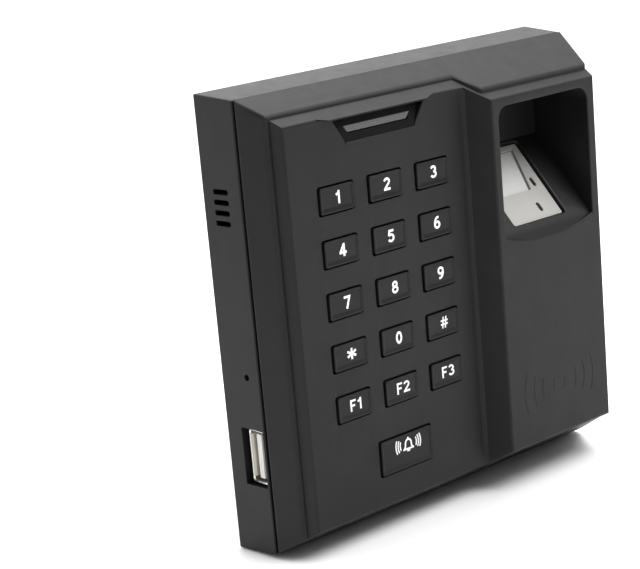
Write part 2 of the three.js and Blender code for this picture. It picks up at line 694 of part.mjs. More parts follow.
function mainBoard() {
  const { x, z, depth } = MAIN_BOARD;
  const speakerNotch = slab([x[0] - 1, -46], [0, FAR], [18, z[1] + 1]);
  const holes = BOARD_SCREW_AT.map((at) => pin(at, [0, FAR], BOARD_SCREW.shank + 0.3, SMALL_SIDES));
  return cut(slab(x, depth, z), speakerNotch, cableWindow(1, [0, FAR]), ...holes);
}

function keypadBoard() {
  const { x, z, depth } = KEY_BOARD;
  return cut(slab(x, depth, z), bossNotches(), ...keypadHoles(BOARD_SCREW.shank + 0.3));
}

function keypadHoles(radius) {
  return KEYPAD_SCREW_AT.map((at) => pin(at, [0, FAR], radius, SMALL_SIDES));
}

// Corners left free for the screw bosses of the casing.
function bossNotches() {
  const clear = 4.4;
  const bosses = CASE_SCREW_AT.filter((at) => !isOnTower(at));
  return join(...bosses.map(([x, z]) => {
    const outwards = (centre, limit) => (centre > limit ? [centre - clear, FAR] : [-FAR, centre + clear]);
    return slab(outwards(x, -20), [0, FAR], outwards(z, 0));
  }));
}

// Silicone sheet with one dome under each key.
function keypadMat() {
  const { x, z } = KEY_BOARD;
  const sheet = slab([x[0] + 1, x[1] - 1], MAT_DEPTH, [z[0] + 1, 41]);
  const domes = keys.map(({ at, size: cap }) => (
    frontPrism(roundedOutline(grown(cap, -0.8), 1.2, at), [MAT_DEPTH[1] - 0.1, DOME_DEPTH], 1)
  ));
  return cut(join(sheet, ...domes), bossNotches(), ...keypadHoles(2.6));
}

// A box with a front view of a given centre and size.
function block([x, z], [width, height], depth) {
  return slab(around(x, width), depth, around(z, height));
}

function placeMainBoardParts() {
  const { at, header, socket, meet } = BOARD_LINK;
  place("processor_chip", block(CHIP.at, CHIP.size, [ON_BOARD, ON_BOARD + CHIP.tall]), blackChip());
  place("lock_relay", block(RELAY.at, RELAY.size, [ON_BOARD, RELAY.front]), blueCase());
  WIRING_HEADER.x.forEach((x, i) => place("wiring_header_" + (i + 1), wiringHeader(x), whitePlastic()));
  place("keypad_header", block(at, header, [ON_BOARD, meet]), blackChip());
  place("keypad_socket", block(at, socket, [meet + GAP, KEY_BOARD.depth[0] - GAP]), blackChip());
  placeClockBattery();
  place("speaker", speaker(), blackChip());
}

function placeClockBattery() {
  const { at, radius, thick, lift } = CELL;
  const { radius: outer, tall, wall, floor } = CELL_HOLDER;
  const cup = pin(at, [ON_BOARD, ON_BOARD + tall], outer, CELL_SIDES);
  const seat = pin(at, [ON_BOARD + floor, FAR], outer - wall, CELL_SIDES);
  const cell = pin(at, [ON_BOARD + lift, ON_BOARD + lift + thick], radius, CELL_SIDES);
  place("battery_holder", cut(cup, seat), blackChip());
  place("clock_battery", cell, zincSteel());
}

// A wire-to-board header just above the cable window, with its socket facing down to the window.
function wiringHeader(x) {
  const { size: [width, height], tall, aboveWindow, wall, deep } = WIRING_HEADER;
  const low = CABLE_WINDOW.z[1] + aboveWindow;
  const body = slab(around(x, width), [ON_BOARD, ON_BOARD + tall], [low, low + height]);
  const socketDepth = [ON_BOARD + wall, ON_BOARD + tall - wall];
  return cut(body, slab(around(x, width - 2 * wall), socketDepth, [low - 1, low + deep]));
}

// A flat loudspeaker standing behind the sound slots, with its cone sunk into its face.
function speaker() {
  const { x, depth, z, rim, sunk } = SPEAKER;
  const inner = ([from, to]) => [from + rim, to - rim];
  return cut(slab(x, depth, z), slab([-FAR, x[0] + sunk], inner(depth), inner(z)));
}

function placeReset() {
  const { x, front, tall, hole } = RESET_SWITCH;
  const body = slab(x, [ON_BOARD, front], around(RESET_AT.z, tall));
  place("reset_switch", cut(body, resetPin([-FAR, hole.to], hole.radius)), blackChip());
  place("reset_plunger", resetPin(RESET_PLUNGER.x, RESET_PLUNGER.radius), whitePlastic());
}

function placeUsb() {
  const [thick, tall] = USB_BODY;
  const { ahead, thick: bladeThick, tall: bladeTall } = USB_BLADE;
  const tube = (shrink, x) =>
    slab(x, around(USB_BODY_DEPTH, thick - shrink), around(USB_AT.z, tall - shrink));
  const shell = cut(tube(0, USB_X), tube(2 * USB_SHEET, [USB_X[0] - 1, USB_X[1] + 1]));
  const inner = 2 * (USB_SHEET + 0.25);
  const base = tube(inner, [USB_TONGUE_X[1] - 2.4, USB_TONGUE_X[1]]);
  const blade = slab(USB_TONGUE_X, around(USB_BODY_DEPTH + ahead, bladeThick), around(USB_AT.z, bladeTall));
  place("usb_shell", shell, zincSteel());
  place("usb_tongue", join(base, blade), whitePlastic());
}

// ---------------------------------------------------------------- keypad and status light

// A cap with a chamfered face, and behind it a flange that stops it leaving the panel.
function keyBody(cap) {
  const face = PANEL_DEPTH + KEY_PROUD;
  const shoulder = face - KEY_CHAMFER;
  const panelBack = PANEL_DEPTH - WALL;
  const flangeFront = panelBack - 0.1;
  const [width, height] = grown(cap, KEY_FLANGE);
  const flange = slab(around(0, width), [flangeFront - KEY_FLANGE_THICK, flangeFront], around(0, height));
  const stem = frontPrism(roundedOutline(cap, KEY_CORNER), [flangeFront - 0.2, shoulder + 0.001]);
  const crown = solid(new ConvexGeometry([
    ...ringPoints(cap, 0, shoulder),
    ...ringPoints(cap, KEY_CHAMFER, face),
  ]));
  return join(flange, stem, crown);
}

function ringPoints(cap, inset, depth) {
  const ring = roundedOutline(grown(cap, -inset), KEY_CORNER - inset * 0.5).getPoints(2);
  return ring.map(({ x, y }) => new THREE.Vector3(x, -depth, y));
}

function placeKeys() {
  keys.forEach(({ name, at, size: cap }) => {
    const key = place(name, keyBody(cap), keyPlastic());
    key.position.set(at[0], 0, at[1]);
  });
}

function placeStatusLight() {
  const guide = frontPrism(lensOutline(0), [LENS.rearDepth, LENS.depth]);
  place("status_lens", guide, smokedLens());
  const lightDepth = [KEY_BOARD.depth[1] + GAP, KEY_BOARD.depth[1] + GAP + 1];
  const lightZ = around(middle([LENS.bottom, LENS.top]), 1.6);
  const light = (x) => slab(around(STATUS_X + x, 3), lightDepth, lightZ);
  place("status_led_green", light(-5), ledDie(0x4fae5a));
  place("status_led_red", light(5), ledDie(0xb54238));
}

// ---------------------------------------------------------------- fingerprint sensor and card coil

// Solids in the sensor's own frame: a front outline of x and y, filled over a span of z.
function sensorPrism(shape, z) {
  const body = new THREE.ExtrudeGeometry(shape, { depth: size(z), bevelEnabled: false, curveSegments: 3 });
  return solid(body.translate(0, 0, z[0]));
}

function sensorPin([x, y], z, radius, sides = SMALL_SIDES) {
  const bar = new THREE.CylinderGeometry(radius, radius, size(z), sides).rotateX(Math.PI / 2);
  return solid(bar.translate(x, y, middle(z)));
}

function windowOutline(grow) {
  const { low, high, leftLow, leftHigh, rightLow, rightHigh } = WINDOW;
  return outline([
    [leftLow - grow, low - grow],
    [rightLow + grow, low - grow],
    [rightHigh + grow, high + grow],
    [leftHigh - grow, high + grow],
  ]);
}

function sensorHousing() {
  const face = roundedOutline([SENSOR_WIDTH, SENSOR_LENGTH], 0.5, [0, SENSOR_LENGTH / 2]);
  const stands = SENSOR_SCREWS_AT.map((at) => (
    sensorPin(at, [SENSOR_BOARD.z[1] + GAP, -SENSOR_BELOW + 0.5], 2)
  ));
  const pilots = SENSOR_SCREWS_AT.map((at) => (
    sensorPin(at, [-FAR, -SENSOR_BELOW - 0.2], TINY_SCREW.shank + 0.15)
  ));
  const slots = SENSOR_SLOTS.at.map((at) => (
    sensorPrism(roundedOutline(SENSOR_SLOTS.size, 0.55, at), [-SENSOR_SLOTS.deep, 1])
  ));
  return cut(
    join(sensorPrism(face, [-SENSOR_BELOW, 0]), ...stands),
    sensorPrism(windowOutline(0), [-WINDOW_SUNK - WINDOW_THICK - GAP, 1]),
    sensorPrism(windowOutline(-1), [-SENSOR_BELOW - 1, 0]),
    ...pilots,
    ...slots,
  );
}

function placeSensor() {
  const board = cut(
    sensorPrism(roundedOutline(SENSOR_BOARD.size, 0.5, SENSOR_BOARD.at), SENSOR_BOARD.z),
    ...SENSOR_SCREWS_AT.map((at) => sensorPin(at, [-FAR, FAR], TINY_SCREW.shank + 0.3)),
  );
  const window = sensorPrism(windowOutline(-0.15), [-WINDOW_SUNK - WINDOW_THICK, -WINDOW_SUNK]);
  const cameraRear = SENSOR_BOARD.z[1] + GAP;
  const camera = join(
    sensorPin(CAMERA.at, [cameraRear, CAMERA.lensFront], CAMERA.lensRadius, ROUND_SIDES),
    sensorPrism(roundedOutline(CAMERA.base, 0.3, CAMERA.at), [cameraRear, CAMERA.baseFront]),
  );
  place("sensor_housing", sensorHousing(), whitePlastic(), sensorFrame);
  place("sensor_window", window, clearGlass(), sensorFrame);
  place("sensor_camera", camera, blackChip(), sensorFrame);
  place("sensor_board", board, greenBoard(), sensorFrame);
  SENSOR_SCREWS_AT.forEach((at, i) => {
    const headTop = SENSOR_BOARD.z[0] - GAP;
    const head = sensorPin(at, [headTop - TINY_SCREW.headHeight, headTop], TINY_SCREW.head);
    const shank = sensorPin(at, [headTop - 0.5, -SENSOR_BELOW - 0.8], TINY_SCREW.shank);
    place("sensor_screw_" + (i + 1), join(head, shank), zincSteel(), sensorFrame);
  });
}

function cardCoil() {
  const { at, size: [width, height], corner, band, thick } = COIL;
  const front = TOWER_DEPTH - WALL - GAP;
  const turns = frontPrism(roundedOutline([width, height], corner, at), [front - thick, front], 3);
  const hole = roundedOutline([width - 2 * band, height - 2 * band], corner - band + 1, at);
  return cut(turns, frontPrism(hole, [0, FAR], 3));
}

// ---------------------------------------------------------------- assembly

place("front_cover", frontCover(), blackPlastic());
place("rear_shell", rearShell(), blackPlastic());
place("wall_bracket", wallPlate(), zincSteel());
place("bracket_lock_screw", lockScrew(), zincSteel());
place("main_board", mainBoard(), greenBoard());
place("keypad_board", keypadBoard(), greenBoard());
place("keypad_mat", keypadMat(), greyRubber());
place("rfid_coil", cardCoil(), copperWire());
placeKeys();
placeStatusLight();
placeMainBoardParts();
placeReset();
placeUsb();
placeSensor();

CASE_SCREW_AT.forEach((at, i) => {
  const headDepth = REAR_RECESS_DEPTH + 0.3;
  place("cover_screw_" + (i + 1), screw(at, headDepth, CASE_JOINT_DEPTH + 7, CASE_SCREW), zincSteel());
});
BOARD_SCREW_AT.forEach((at, i) => {
  const headDepth = ON_BOARD + BOARD_SCREW.headHeight;
  place("board_screw_" + (i + 1), screw(at, headDepth, REAR_RECESS_DEPTH + 0.5, BOARD_SCREW), zincSteel());
});
KEYPAD_SCREW_AT.forEach((at, i) => {
  const headDepth = KEY_BOARD.depth[0] - GAP - BOARD_SCREW.headHeight;
  place("keypad_screw_" + (i + 1), screw(at, headDepth, PANEL_DEPTH - WALL - 0.6, BOARD_SCREW), zincSteel());
});

export default terminal;
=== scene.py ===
import json
from math import atan, cos, radians, sin

import bmesh
import bpy
from mathutils import Matrix, Vector


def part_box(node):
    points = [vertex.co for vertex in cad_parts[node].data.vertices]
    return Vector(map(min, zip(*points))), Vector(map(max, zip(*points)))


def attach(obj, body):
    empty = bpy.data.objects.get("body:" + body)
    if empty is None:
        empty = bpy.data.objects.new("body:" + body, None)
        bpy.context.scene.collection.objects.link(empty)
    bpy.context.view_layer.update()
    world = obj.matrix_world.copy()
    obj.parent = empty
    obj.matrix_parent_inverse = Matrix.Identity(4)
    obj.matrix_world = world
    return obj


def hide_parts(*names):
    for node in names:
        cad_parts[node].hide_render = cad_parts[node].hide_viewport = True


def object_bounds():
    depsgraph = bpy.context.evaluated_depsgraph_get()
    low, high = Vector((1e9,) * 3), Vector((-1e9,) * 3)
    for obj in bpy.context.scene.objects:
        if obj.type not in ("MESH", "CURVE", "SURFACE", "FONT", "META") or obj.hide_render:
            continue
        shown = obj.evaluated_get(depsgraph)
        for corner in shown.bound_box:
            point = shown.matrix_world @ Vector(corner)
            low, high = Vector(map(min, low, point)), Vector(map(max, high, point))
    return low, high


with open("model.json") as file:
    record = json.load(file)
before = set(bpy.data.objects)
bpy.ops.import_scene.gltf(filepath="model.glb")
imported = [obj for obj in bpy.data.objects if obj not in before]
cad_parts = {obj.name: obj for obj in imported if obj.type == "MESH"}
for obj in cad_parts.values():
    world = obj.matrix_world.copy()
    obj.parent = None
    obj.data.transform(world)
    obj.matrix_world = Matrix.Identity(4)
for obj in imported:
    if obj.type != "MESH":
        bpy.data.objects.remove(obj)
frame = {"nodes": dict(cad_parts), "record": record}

# A wall-mounted access terminal. Solids are built in millimetres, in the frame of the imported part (+X right,
# +Y into the wall, +Z up), and are scaled to metres when they become pieces. A depth is the distance in
# front of the wall, which is -Y, and a span is a pair (from, to).

CAD_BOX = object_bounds()
MM = 0.001
FAR = 80

BODY_OF = {
    node: body
    for body, nodes in frame["record"]["behaviour"]["bodies"].items()
    for node in nodes
}


def box_mm(node):
    low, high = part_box(node)
    return low / MM, high / MM


# ---- sizes

COVER_LOW, COVER_HIGH = box_mm("front_cover")
LENS_LOW, LENS_HIGH = box_mm("status_lens")
USB_LOW, USB_HIGH = box_mm("usb_shell")
TONGUE_LOW, _ = box_mm("usb_tongue")
PLATE_LOW, PLATE_HIGH = box_mm("wall_bracket")
_, REAR_HIGH = box_mm("rear_shell")

HALF = COVER_HIGH.x  # half the side of the square outline where the two shells meet
TOWER_DEPTH = -COVER_LOW.y
PANEL_DEPTH = TOWER_DEPTH - 6.3
PARTING_DEPTH = 13.3
PARTING_GROOVE = 0.4  # width of the dark line between the two shells
DRAFT = REAR_HIGH.x - HALF
LEDGE_DEPTH = PANEL_DEPTH - 3
TOWER_LEDGE_DEPTH = TOWER_DEPTH - 2.7
WALL = 2
WALL_ACROSS = 2.2  # thickness of the slanted wall, measured along x
OVERLAP = 0.5  # how far joined solids run into each other

# Depth gained for each millimetre of inset on the wide bevels, and the insets of the block in front of them.
BEVEL_SLOPE = {"left": 2.5, "right": 2.22, "ends": 1.96, "bottom": 1.65}
BLOCK_INSET = {"left": 1.4, "right": 3.2, "ends": 0.72}
BLOCK_INSET_AT_TOWER = {"left": 7.5, "right": 6.9, "ends": 9.8}
SHELL_INSET = 2.4

PANEL_RIGHT = 7
FOOT = (7.9, PANEL_DEPTH + 0.5)  # x and depth where the slanted wall rises from the swell at its foot
TOWER_LEFT = 10.7
WALL_LEAN = (TOWER_LEFT - FOOT[0]) / (TOWER_DEPTH - FOOT[1])  # x for each millimetre of the wall's depth
# How far the swell runs past the panel's edge and the foot, how deep it is rooted, and where it ends.
SWELL = {"left": 0.9, "right": 0.2, "root": 0.6, "end_slope": 1.84, "end_inset": 1.4}
LEDGE_SHIFT = 0.4
LEDGE_ROUND = 0.85
BLOCK_ROUND = 0.45
# The cover's rim that enters the rear shell, with a notch for the USB socket, and the room for it there.
TONGUE = {"back": 11.4, "lap": 0.6, "inset": 1.4, "thick": 1, "notch": 6, "notch_gap": 0.6}
REBATE = {"depth": 11.1, "inset": 1.1}

WELL_X = (13, 45.4)
WELL_TOP = 43
WELL_CORNER = 3.3
WELL_BACK_DEPTH = 11.5
WELL_WALL = 1.6
WELL_SIDE_BOTTOM = 10.3
WELL_LIP_SAG = 2.7
RAMP_SLOPE = 1.09
RAMP_FRONT_Z = 9.6
RAMP_THICK = 2.5
RAMP_TURN = (1.8, 2.4)  # how far behind the lip, and by how much, the plate under the ramp turns down
LIP_DEPTH = 28.6
LIP_ROLL = (1.3, 0.585)  # how far behind and in front of the lip the ramp rolls over
WELL_RIM = 0.35

SENSOR_X = 28.1
SENSOR_SIZE = (18, 22.6)
SENSOR_GAP = 0.35
SENSOR_CORNER = 0.9
SENSOR_RIM = 0.5
WELL_FILLET = {-1: (5.5, 3.4), 1: (7.6, 3.4)}  # width and height of the scoop at each side of the ramp
WELL_FILLET_RUN = (-8, 34)  # its ends, measured up the ramp from the sensor's lower edge
SENSOR_SLOTS_AT = [(3.05, 3.4), (6.35, 10.7)]
SENSOR_SLOT_SIZE = (1.16, 2.76)
SENSOR_SLOT_SPAN = (-2.2, -0.35)  # the dark windows in the slots, out of the sensor's face
SENSOR_SUNK = 0.8
SENSOR_HOLE_DEEP = 6
SENSOR_START_DEPTH = 27.06

STATUS_X = (LENS_LOW.x + LENS_HIGH.x) / 2
RECESS = {"top": 47.55, "bottom": 42, "half_top": 14.4, "half_bottom": 10.8, "floor_top_depth": 22}
RECESS_REACH = 17  # half the width of the solids that are trimmed to the recess
RECESS_RIM = 0.3
RECESS_STEP = 0.15  # depth of the step at its lower edge
# The block behind the recess, the dark sheet on its floor that paints the shade there, and the raised line
# along its lower edge.
RECESS_BACKING = {"half": 15, "bottom": 41.5, "above": 0.4, "behind": 2.75}
SHADE_SHEET = {"lift": 0.02, "thick": 0.1, "gap": 0.05, "side_gap": 0.1, "top_gap": 0.15}
RIDGE = {"high": 0.16, "half": 0.3, "past": 0.2, "sink": 0.3, "foot": 0.25}
BROW = {
    "x": -21.1, "top": 48.72, "edge": 48.1, "half_top": 18.6, "half_edge": 15.6, "depth": 24.8, "root": 23,
    "round": 0.1,
}
LENS = {"top": LENS_HIGH.z, "bottom": LENS_LOW.z, "half_top": 10.6, "half_bottom": 9.4}
LENS_GAP = 0.2
LENS_HOLE_START = 17
LENS_EDGE = [(0.15, 0), (0.04, 0.04), (0, 0.15)]  # its rounded edge, as (behind the face, inset)

KEY_NAMES = ["1", "2", "3", "4", "5", "6", "7", "8", "9", "star", "0", "hash", "f1", "f2", "f3", "bell"]
KEY_FLANGE = 0.9
KEY_FLANGE_THICK = 0.8
KEY_CORNER = 0.55
KEY_CLEARANCE = 0.35
KEY_PROUD = 0.5
KEY_HOLE_RIM = 0.16
KEY_EDGE = 0.24
KEY_RIM = 0.42  # where the dish starts
KEY_DISH = 0.17
# Rings of the dish: (inset from the cap's side, corner, how deep, more inset at the lower edge).
KEY_DISH_RINGS = [
    (KEY_RIM, 0.25, 0, 0), (KEY_RIM + 0.06, 0.22, 0.03, 0.1),
    (KEY_RIM + 0.2, 0.15, KEY_DISH - 0.02, 0.62), (KEY_RIM + 0.26, 0.1, KEY_DISH, 0.74),
]

LEGEND_SHIFT = (0.42, 0.33)
BELL_SHIFT = (0.15, 1.15)  # added for the bell
# The size of a glyph's unit across and up, and the width of its strokes.
DIGIT = {"size": (3.5, 3.1), "stroke": 0.58}
FUNCTION = {"size": (3.45, 2.85), "stroke": 0.5}
HASH = {"size": (3.5, 3.1), "stroke": 0.4}
BELL = {"size": (3.9, 3.8), "stroke": 0.46}
BELL_WAVES = [(0.7, 24), (0.88, 27), (1.06, 25)]  # radius in units, and half angle
WAVE_STROKE = 0.36
INK_THICK = 0.03
INK_ROOT = 0.05

EMBLEM_AT = (29, -31.5)
EMBLEM_DEEP = 0.05
EMBLEM_CARD = {"size": (4.2, 3.2), "corner": 0.8, "stroke": 0.4}
EMBLEM_WAVES = {"reach": (6.4, 9.6, 13), "half_angle": 24, "stroke": 0.6}

SIDE_WALL = 2.2
REAR_WALL_DEPTH = 3.3
REAR_RECESS_DEPTH = 1.8
REAR_ROUND = 0.35
PLATE_GAP = 0.3
PLATE_CORNER = 4
VENTS = {"depth": (3.7, 8.7), "z": (33.4, 30.9, 28.4, 25.9), "height": 1.3, "corner": 0.5}
SIDE_RIM = 0.15  # rounded rim of the vents and of the reset hole
RESET_AT = (8.8, -11.1)
RESET_RADIUS = 0.8
CABLE_WINDOW = {"half_width": 15, "z": (-35, -17)}
CASE_SCREW_AT = [(-44, 44), (-44, -44), (44, -44), (3, 44)]
# The holes and the boss of each case screw in the shells, as (radius, depth where it ends).
CASE_SCREW = {"head": (2.8, 4), "shank": (1.6, 10), "pilot": (1.45, 18), "rear_boss": (4, 9)}
COVER_BOSS = {"radius": 3, "start": 9.3}
HOLE_SIDES = 16
LOCK_SCREW = {"depth": 5.2, "head": 1.4, "seat_radius": 3.1, "shank_radius": 1.75}
PLATE_SLOTS = [
    {"x": (-7.5, 7.5), "z": (-47.15, -44.65)},
    {"x": (-31.5, -20.5), "z": (43.25, 45.75)},
    {"x": (20.5, 31.5), "z": (43.25, 45.75)},
]

USB_Z = (USB_LOW.z + USB_HIGH.z) / 2
USB_CUTOUT = {"size": (7.3, 14.4), "depth": 8.7, "corner": 0.4, "rim": 0.2}
USB_BLADE_DEPTH = 9.95  # face of the socket's tongue
USB_SHEET = 0.35
USB_MOUTH = {"flare": 0.3, "inset": 0.12, "corner": 0.42}
USB_CORNER = (0.5, 0.2)  # outside and inside
USB_SPRING_HALF = 5.4
# The leaf's bends: (distance into the mouth, distance from the wall-side sheet).
USB_SPRING = [(0.05, -0.1), (0.05, 0.02), (0.6, 0.5), (1.3, 0.45), (3, 0), (3, -0.1)]
USB_CONTACT = {"count": 4, "pitch": 2.4, "width": 1, "x": (0.7, 7), "sunk": 0.12, "proud": 0.05}


# ---- solids

AXES = {"x": (1, 2, 0), "y": (0, 2, 1), "z": (0, 1, 2)}  # across, up and along
SAME_POINT = 1e-4
SAME_CAD_POINT = 2e-3
FLAT_ANGLE = radians(0.3)
EDGE_ANGLE = radians(12)
CORNER_ANGLE = radians(40)
SHARP_ANGLE = radians(35)


def linked(data):
    """An object in the scene for a mesh, a camera or a light."""
    made = bpy.data.objects.new(data.name, data)
    bpy.context.scene.collection.objects.link(made)
    return made


def solid_of(bm):
    bmesh.ops.recalc_face_normals(bm, faces=bm.faces)
    mesh = bpy.data.meshes.new("solid")
    bm.to_mesh(mesh)
    bm.free()
    return linked(mesh)


def at_depth(outline, depth):
    return [(x, -depth, z) for x, z in outline]


def loft(rings, closed=False):
    """A solid through rings of matching points. It has a cap at each end, or closes on itself."""
    bm = bmesh.new()
    loops = [[bm.verts.new(point) for point in ring] for ring in rings]
    pairs = list(zip(loops, loops[1:]))
    if closed:
        pairs.append((loops[-1], loops[0]))
    for low, high in pairs:
        for i, corner in enumerate(low):
            j = (i + 1) % len(low)
            bm.faces.new((corner, low[j], high[j], high[i]))
    if not closed:
        bm.faces.new(loops[0])
        bm.faces.new(loops[-1])
    return solid_of(bm)


def hull(points):
    bm = bmesh.new()
    for point in points:
        bm.verts.new(point)
    bmesh.ops.convex_hull(bm, input=bm.verts)
    merge_flat_faces(bm)
    return solid_of(bm)


def merge_flat_faces(bm):
    bmesh.ops.remove_doubles(bm, verts=bm.verts, dist=SAME_POINT)
    bmesh.ops.dissolve_limit(bm, angle_limit=FLAT_ANGLE, verts=bm.verts, edges=bm.edges)


def prism(outline, span, axis="y"):
    """An outline filled along an axis. Along y it is a front view, and its span is one of depths."""
    first, second, along = AXES[axis]
    sign = -1 if axis == "y" else 1

    def at(point, height):
        place = [0.0] * 3
        place[first] = point[0]
        place[second] = point[1]
        place[along] = sign * height
        return place

    return loft([[at(point, height) for point in outline] for height in span])


def plan_prism(plan, z=(-FAR, FAR)):
    """A plan of (x, depth) filled along z."""
    return prism([(x, -depth) for x, depth in plan], z, "z")


def side_prism(side, x):
    """A side view of (depth, z) filled along x."""
    return prism([(-depth, z) for depth, z in side], x, "x")


def slab(x, depth, z):
    return prism([(x[0], z[0]), (x[1], z[0]), (x[1], z[1]), (x[0], z[1])], depth)


def arc(centre, radii, start, stop, steps):
    """Points on an ellipse's arc, with its angles in degrees."""
    angles = [radians(start + (stop - start) * i / steps) for i in range(steps + 1)]
    return [(centre[0] + radii[0] * cos(a), centre[1] + radii[1] * sin(a)) for a in angles]


def fractions(count):
    """Numbers from 0 to 1 in even steps."""
    return [i / count for i in range(count + 1)]


def oval(centre, radii, steps=28):
    return arc(centre, radii, 0, 360 - 360 / steps, steps - 1)


def rounded(width, height, radius, centre=(0, 0), steps=6):
    corners = [(1, -1, -90), (1, 1, 0), (-1, 1, 90), (-1, -1, 180)]
    points = []
    for side, end, start in corners:
        middle = (centre[0] + side * (width / 2 - radius), centre[1] + end * (height / 2 - radius))
        points += arc(middle, (radius, radius), start, start + 90, steps)
    return points


def pin(at, depth, radius, sides=32):
    return prism(oval(at, (radius, radius), sides), depth)


def tapered_block(*ends):
    """A block with four sloping sides between two depths, each end given as (depth, insets).

    "ends" is the inset of the upper side, and of the lower one unless "bottom" gives its own.
    """
    points = []
    for depth, inset in ends:
        for x in (-HALF + inset["left"], HALF - inset["right"]):
            for z in (-HALF + inset.get("bottom", inset["ends"]), HALF - inset["ends"]):
                points.append((x, -depth, z))
    return hull(points)


def square(inset):
    return {"left": inset, "right": inset, "ends": inset}


def with_modifiers(solid):
    """Turns a solid's modifiers into its own mesh."""
    graph = bpy.context.evaluated_depsgraph_get()
    made = bpy.data.meshes.new_from_object(solid.evaluated_get(graph))
    solid.modifiers.clear()
    old, solid.data = solid.data, made
    bpy.data.meshes.remove(old)
    return solid


def triangulate(solid):
    bm = bmesh.new()
    bm.from_mesh(solid.data)
    bmesh.ops.triangulate(bm, faces=bm.faces)
    bm.to_mesh(solid.data)
    bm.free()


def combine(body, how, tools):
    """Joins, cuts or keeps the overlap of solids, and uses the tools up."""
    for tool in tools:
        triangulate(body)
        step = body.modifiers.new("step", "BOOLEAN")
        step.operation = how
        step.solver = "EXACT"
        step.object = tool
        with_modifiers(body)
        bpy.data.meshes.remove(tool.data)
    return body


def join(body, *tools):
    return combine(body, "UNION", tools)


def cut(body, *tools):
    return combine(body, "DIFFERENCE", tools)


def overlap(body, *tools):
    return combine(body, "INTERSECT", tools)


def together(solids):
    """Solids that don't touch each other, as one tool."""
    bm = bmesh.new()
    for solid in solids:
        bm.from_mesh(solid.data)
        bpy.data.meshes.remove(solid.data)
    return solid_of(bm)


def round_edges(solid, radius, pick, segments=4):
    """Rounds the edges that pick(edge, normal_a, normal_b) chooses."""
    bm = bmesh.new()
    bm.from_mesh(solid.data)
    merge_flat_faces(bm)
    bm.normal_update()
    chosen = []
    for edge in bm.edges:
        if len(edge.link_faces) == 2 and edge.calc_face_angle() > EDGE_ANGLE:
            if pick(edge, *[face.normal for face in edge.link_faces]):
                chosen.append(edge)
    bmesh.ops.bevel(
        bm, geom=chosen, offset=radius, offset_type="OFFSET", segments=segments,
        profile=0.5, affect="EDGES", clamp_overlap=True,
    )
    bm.to_mesh(solid.data)
    bm.free()
    return solid


def convex(edge, *_):
    return edge.is_convex


def flared_prism(outline_at, face_depth, radius, back_depth, steps=4):
    """A cutter whose mouth flares like a rounded rim. outline_at(grow) gives its outline."""
    rings = [(back_depth, 0)]
    for i in range(steps + 1):
        turn = radians(90 * i / steps)
        rings.append((face_depth - radius + radius * sin(turn), radius * (1 - cos(turn))))
    rings.append((face_depth + 1, radius))
    return loft([at_depth(outline_at(grow), depth) for depth, grow in rings])


# ---- pieces

def piece(solid, name, material, slot, *nodes, body=None):
    """Makes a solid a visible piece that stands for CAD nodes and rides on their body."""
    solid.name = name
    mesh = solid.data
    mesh.name = name
    mesh.transform(Matrix.Scale(MM, 4))
    mesh.polygons.foreach_set("use_smooth", [True] * len(mesh.polygons))
    mesh.set_sharp_from_angle(angle=SHARP_ANGLE)
    weighted = solid.modifiers.new("weighted normals", "WEIGHTED_NORMAL")
    weighted.keep_sharp = True
    mesh.materials.clear()
    mesh.materials.append(material)
    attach(solid, body or BODY_OF[nodes[0]])
    if nodes:
        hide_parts(*nodes)
    return solid


def copy_of(node):
    """The CAD node's solid in millimetres, with its flat faces merged."""
    bm = bmesh.new()
    bm.from_mesh(frame["nodes"][node].data)
    bmesh.ops.scale(bm, vec=(1 / MM,) * 3, verts=bm.verts)
    bmesh.ops.remove_doubles(bm, verts=bm.verts, dist=SAME_CAD_POINT)
    merge_flat_faces(bm)
    return solid_of(bm)


def refined(node, material, slot, radius=0.12, segments=2):
    """The CAD node again with its sharp outer edges rounded."""
    def is_corner(edge, *_):
        return edge.is_convex and edge.calc_face_angle() > CORNER_ANGLE

    solid = round_edges(copy_of(node), radius, is_corner, segments)
    return piece(solid, node + "_fine", material, slot, node)


# ---- materials

def new_material(name):
    material = bpy.data.materials.new(name)
    material.use_nodes = True
    nodes = material.node_tree.nodes
    return material, nodes, nodes["Principled BSDF"]


def connect(source, socket):
    socket.id_data.links.new(source, socket)


def node_of(nodes, kind, **settings):
    made = nodes.new(kind)
    for name, value in settings.items():
        if hasattr(made, name):
            setattr(made, name, value)
        else:
            made.inputs[name.replace("_", " ")].default_value = value
    return made


def noise(nodes, scale, detail=2.0, roughness=0.5, stretch=(1, 1, 1)):
    """Noise in the part's own frame, with its scale in features per metre."""
    place = nodes.new("ShaderNodeTexCoord")
    mapping = nodes.new("ShaderNodeMapping")
    mapping.inputs["Scale"].default_value = stretch
    connect(place.outputs["Object"], mapping.inputs["Vector"])
    made = node_of(nodes, "ShaderNodeTexNoise", Scale=scale, Detail=detail, Roughness=roughness)
    connect(mapping.outputs["Vector"], made.inputs["Vector"])
    return made.outputs["Fac"]


def ramp(nodes, source, low, high, from_low=0.3, from_high=0.7):
    """Maps a value between from_low and from_high to one between low and high."""
    made = nodes.new("ShaderNodeMapRange")
    for name, value in zip(("From Min", "From Max", "To Min", "To Max"), (from_low, from_high, low, high)):
        made.inputs[name].default_value = value
    connect(source, made.inputs["Value"])
    return made.outputs["Result"]


def blend_colour(nodes, source, dark, light, from_low=0.3, from_high=0.7):
    made = nodes.new("ShaderNodeValToRGB")
    made.color_ramp.elements[0].position = from_low
    made.color_ramp.elements[1].position = from_high
    made.color_ramp.elements[0].color = (*dark, 1)
    made.color_ramp.elements[1].color = (*light, 1)
    connect(source, made.inputs["Fac"])
    return made.outputs["Color"]


